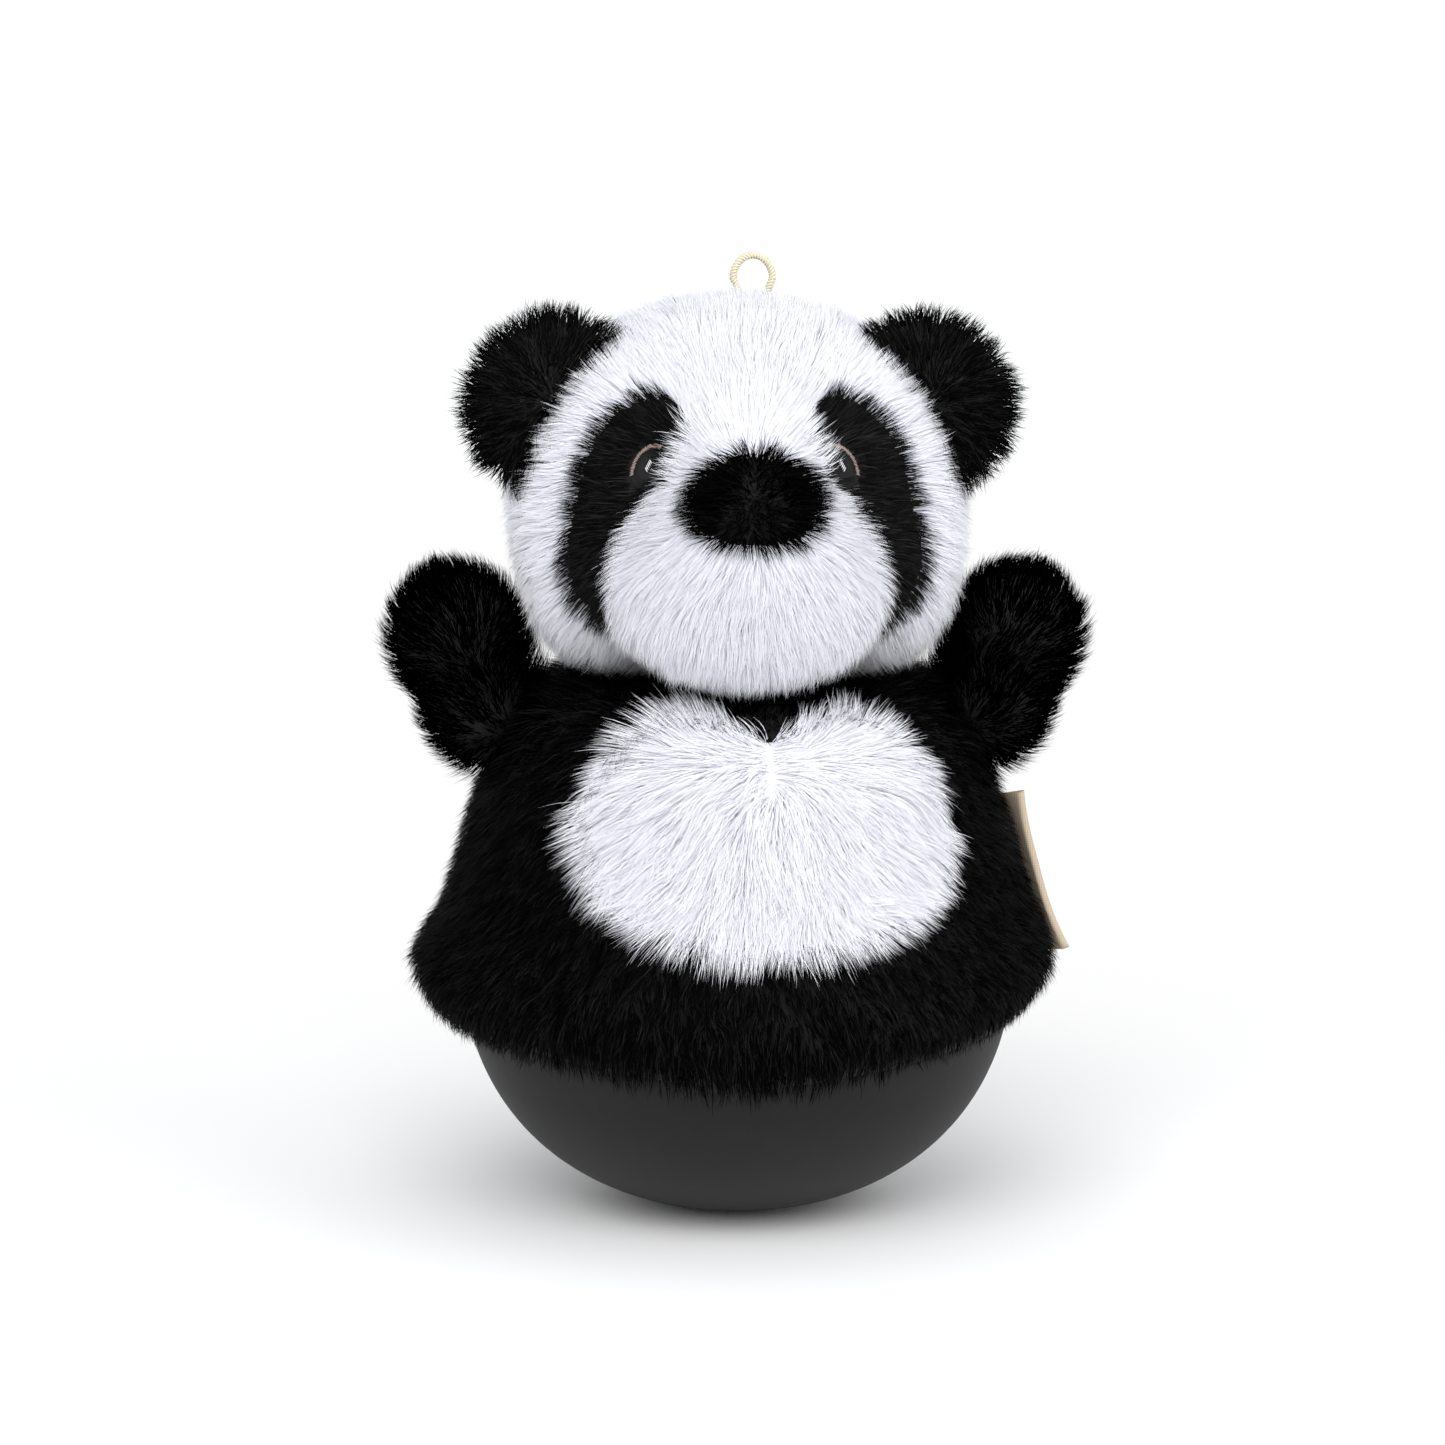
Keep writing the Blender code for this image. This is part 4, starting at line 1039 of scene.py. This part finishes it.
def build_elastic(looks, around=128):
    """The ring in the hem, which is drawn up with it at the sides."""
    low, high = -ELASTIC_HALF_HEIGHT, ELASTIC_HALF_HEIGHT
    near, far = ELASTIC_INNER_RADIUS, ELASTIC_OUTER_RADIUS
    bm = bmesh.new()
    rings = []
    for i in range(around):
        x, y = math.cos(math.tau * i / around), math.sin(math.tau * i / around)
        middle = ELASTIC_HEIGHT + float(hem_rise(x, y))
        corners = ((near, low), (far, low), (far, high), (near, high))
        rings.append([bm.verts.new((r * x, r * y, middle + z)) for r, z in corners])
    bridged(bm, rings + rings[:1])
    mesh = mesh_from(bm, "hem_elastic_ring")
    mesh.shade_flat()
    add_piece(mesh, looks["elastic"], "torso", "hem_elastic")


def loop_line():
    """Close points along the middle of the cord: up one leg, round the bend and down the other."""
    low, high = (Vector(corner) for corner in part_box("hanging_loop"))
    centre = Vector(((low.x + high.x) / 2, (low.y + high.y) / 2, 0.0))
    cord = 0.95 * MM
    bend = (high.x - low.x) / 2 - cord
    tall = bend * 1.15
    foot, spring = low.z - 4 * MM, high.z - cord - tall
    leg = []
    for i in range(8):
        share = i / 8
        leg.append(Vector((bend * (0.55 + 0.45 * share), 0.0, foot + (spring - foot) * share)))
    arch = []
    for i in range(25):
        turn = math.pi * i / 24
        arch.append(Vector((bend * math.cos(turn), 0.0, spring + tall * math.sin(turn))))
    line = leg + arch + [Vector((-point.x, 0.0, point.z)) for point in reversed(leg)]
    return [centre + a.lerp(b, k / 6) for a, b in zip(line, line[1:]) for k in range(6)]


def build_loop(looks):
    """Three yarns twisted round each other along the loop."""
    line = loop_line()
    first = Vector((0.0, 1.0, 0.0))
    bm = bmesh.new()
    for yarn in range(3):
        rings = []
        travelled = 0.0
        for i, point in enumerate(line):
            before, after = line[max(i - 1, 0)], line[min(i + 1, len(line) - 1)]
            travelled += (point - before).length
            second = (after - before).normalized().cross(first).normalized()
            twist = travelled / YARN_PITCH * math.tau + yarn * math.tau / 3
            middle = point + (first * math.cos(twist) + second * math.sin(twist)) * YARN_OFFSET
            rings.append(ring_round(bm, middle, first, second, YARN_RADIUS, 8))
        closed_tube(bm, rings)
    add_piece(mesh_from(bm, "cord_loop"), looks["cord"], "loop", "hanging_loop")


def label_section():
    """The folded ribbon seen from its end, closed, and the number of points on its outside."""
    half = LABEL_HALF_THICKNESS
    fold = LABEL_WIDTH - half
    outer = [(-3 * MM, -half * 0.55)]
    for k in range(7):
        outer.append((fold * k / 6, -half * (0.55 + 0.45 * k / 6)))
    for k in range(1, 9):
        turn = -math.pi / 2 + math.pi * k / 9
        outer.append((fold + half * math.cos(turn), half * math.sin(turn)))
    outer += [(u, -v) for u, v in reversed(outer[:8])]
    inner = []
    for i, (u, v) in enumerate(outer):
        before, after = Vector(outer[max(i - 1, 0)]), Vector(outer[min(i + 1, len(outer) - 1)])
        along = (after - before).normalized()
        inner.append((u - along.y * LABEL_LAYER, v + along.x * LABEL_LAYER))
    return outer + list(reversed(inner)), len(outer)


def build_label(looks, rows=28):
    """A woven ribbon folded on itself, slightly bowed, its open edge in the side seam."""
    top = Vector(JOINTS["label_flap"]["pos_m"])
    seam = Vector(JOINTS["label_flap"]["axis"]).normalized()
    outward = Vector((math.cos(LABEL_SWEEP), math.sin(LABEL_SWEEP), 0.0))
    outward = (outward - seam * outward.dot(seam)).normalized()
    across = seam.cross(outward)
    section, outside = label_section()
    bm = bmesh.new()
    rings = []
    for j in range(rows + 1):
        t = j / rows
        bow = math.sin(math.pi * t) * MM
        middle = top + seam * (LABEL_HEIGHT * t)
        ring = []
        for u, v in section:
            reach = max(u, 0.0) / LABEL_WIDTH
            ripple = math.sin(t * 9.0 + 0.6) * 0.35 * MM * reach
            slack = (1.0 * MM * (1 - t) ** 2 - 1.8 * bow) * reach
            place = middle + outward * (u + slack) + across * (v + ripple + bow * reach)
            ring.append(bm.verts.new(place))
        rings.append(ring)
    bridged(bm, rings)
    count = len(section)
    for ring in (rings[0], rings[-1]):
        for k in range(outside - 1):
            bm.faces.new((ring[k], ring[k + 1], ring[count - 2 - k], ring[count - 1 - k]))
    add_piece(mesh_from(bm, "ribbon_label"), looks["label"], "label", "side_label")


def dress_inside(looks):
    """Procedural materials on the CAD nodes that stay as they are."""
    for look, nodes in INSIDE.items():
        for node in nodes:
            NODES[node].data.materials.clear()
            NODES[node].data.materials.append(looks[look][0])


# ---- stage ----


def build_stage():
    """A pale floor that fades into a white room, and two wide lamps above and in front."""
    material, shader, link_up = new_material("floor_looks", (0.93, 0.93, 0.935), 0.9)
    distance = new_node(material, "VectorMath", operation="LENGTH")
    link_up(object_place(material), distance.inputs[0])
    limits = {"From Min": 0.10, "From Max": 0.45}
    fade = new_node(material, "MapRange", limits, interpolation_type="SMOOTHSTEP")
    link_up(distance.outputs["Value"], fade.inputs["Value"])
    glow = new_node(material, "Emission", {"Color": (1.0, 1.0, 1.0, 1.0)})
    blend = new_node(material, "MixShader")
    link_up(fade.outputs["Result"], blend.inputs["Fac"])
    link_up(shader.outputs["BSDF"], blend.inputs[1])
    link_up(glow.outputs["Emission"], blend.inputs[2])
    output = material.node_tree.nodes["Material Output"]
    link_up(blend.outputs["Shader"], output.inputs["Surface"])
    bm = bmesh.new()
    bmesh.ops.create_grid(bm, x_segments=1, y_segments=1, size=6.0)
    mesh = bpy.data.meshes.new("floor")
    bm.to_mesh(mesh)
    bm.free()
    floor = link(bpy.data.objects.new("floor", mesh))
    floor.location.z = -0.0002
    mesh.materials.append(material)
    build_world()
    build_lamp("key", (-0.30, -1.4, 1.1), 24.0)
    build_lamp("fill", (1.2, -0.9, 0.8), 9.0)
    bpy.context.scene.view_settings.view_transform = "Standard"


def build_lamp(name, place, power):
    """A wide, soft lamp aimed at the toy's middle."""
    light = bpy.data.lights.new(name, "AREA")
    light.size = 1.3
    light.energy = power
    lamp = link(bpy.data.objects.new(name, light))
    lamp.location = place
    aim = Vector((0.0, 0.0, 0.13)) - lamp.location
    lamp.rotation_euler = aim.to_track_quat("-Z", "Y").to_euler()


def build_world():
    """White where the camera sees it, and a little dimmer as a light."""
    world = bpy.data.worlds.new("studio")
    world.use_nodes = True
    link_up = world.node_tree.links.new
    background = world.node_tree.nodes["Background"]
    background.inputs["Color"].default_value = (0.98, 0.99, 1.0, 1.0)
    seen = new_node(world, "LightPath")
    strength = new_node(world, "MapRange", {"To Min": 0.76, "To Max": 1.05})
    link_up(seen.outputs["Is Camera Ray"], strength.inputs["Value"])
    link_up(strength.outputs["Result"], background.inputs["Strength"])
    bpy.context.scene.world = world


def build_camera():
    """Straight at the toy, from slightly above and slightly to its right."""
    target = Vector((-0.0040, 0.0, 0.1313))
    azimuth, elevation, distance = math.radians(-3.0), math.radians(6.0), 0.95
    width_in_view = 0.391
    level = math.cos(elevation)
    back = Vector((math.sin(azimuth) * level, -math.cos(azimuth) * level, math.sin(elevation)))
    data = bpy.data.cameras.new("camera")
    data.sensor_width = 36.0
    data.lens = data.sensor_width * distance / width_in_view
    camera = link(bpy.data.objects.new("camera", data))
    camera.location = target + back * distance
    camera.rotation_euler = (-back).to_track_quat("-Z", "Y").to_euler()
    bpy.context.scene.camera = camera


# ---- assembly ----

BACKING_OF = {"white_fur": "white_backing", "black_fur": "black_backing"}
INSIDE = {
    "cast_weight": ["ballast_weight"],
    "steel": ["ballast_screw_1", "ballast_screw_2", "ballast_screw_3"],
    "lining": ["ball_pocket_lining"],
    "stuffing": ["body_stuffing", "head_stuffing", "arm_left_stuffing", "arm_right_stuffing"],
    "black_backing": ["neck_stuffing", "ear_left_padding", "ear_right_padding"],
}
# Copies of one black pile whose darkness differs by place: partly the pile's own, partly painted
# light and shade, with the arms darkest.
BLACK_FURS = {
    "body_fur": (0.0020, 0.015),
    "face_fur": (0.0032, 0.045),
    "ear_fur": (0.0020, 0.018),
    "nose_fur": (0.0009, 0.006),
    "arm_fur": (0.0003, 0.0),
}  # shade, gloss
PLAIN = {
    "pupil_thread": ("eye_thread", (0.0012, 0.0012, 0.0014), 0.9, 0.0, 3000.0, 0.3),
    "rim_thread": ("eye_thread", (0.33, 0.25, 0.22), 0.5, 0.0, 3000.0, 0.3),
    "glint_thread": ("eye_thread", (0.80, 0.80, 0.84), 0.45, 0.0, 3000.0, 0.3),
    "cast_weight": ("weight", (0.10, 0.10, 0.105), 0.7, 0.9, 300.0, 0.5),
    "steel": ("screw", (0.62, 0.62, 0.64), 0.35, 1.0, 900.0, 0.1),
    "elastic": ("elastic", (0.02, 0.02, 0.02), 0.8, 0.0, 1500.0, 0.5),
    "lining": ("lining", (0.03, 0.03, 0.035), 0.9, 0.0, 1200.0, 0.4),
    "stuffing": ("stuffing", (0.85, 0.85, 0.84), 0.95, 0.0, 350.0, 0.8),
}  # slot, colour, roughness, metallic, bump scale, bump strength


def make_looks():
    """Every look, as a material and the name of the material slot that it stands for."""
    looks = {"white_fur": (white_fur_material(), "white_fur")}
    for name, (shade, gloss) in BLACK_FURS.items():
        looks[name] = (black_fur_material(f"{name}_looks", shade, gloss), "black_fur")
    for shade, colour in (("white", (0.84, 0.84, 0.88)), ("black", (0.0020, 0.0020, 0.0024))):
        backing = backing_material(f"{shade}_backing_looks", colour)
        looks[f"{shade}_backing"] = (backing, f"{shade}_fur")
    looks["ball"] = (ball_material(), "ball")
    looks["cord"] = (cord_material(), "cord")
    looks["label"] = (label_material(), "label")
    for name, (slot, *values) in PLAIN.items():
        looks[name] = (plain_material(f"{name}_looks", *values), slot)
    return looks


LOOKS = make_looks()
build_ball(LOOKS)
build_body(LOOKS)
head_skin = build_head(LOOKS)
for side_name, side_sign in (("left", 1.0), ("right", -1.0)):
    build_arm(side_name, side_sign, LOOKS)
    build_ear(side_name, side_sign, LOOKS)
    build_eye(side_name, side_sign, head_skin, LOOKS)
build_elastic(LOOKS)
build_loop(LOOKS)
build_label(LOOKS)
dress_inside(LOOKS)
build_stage()
build_camera()
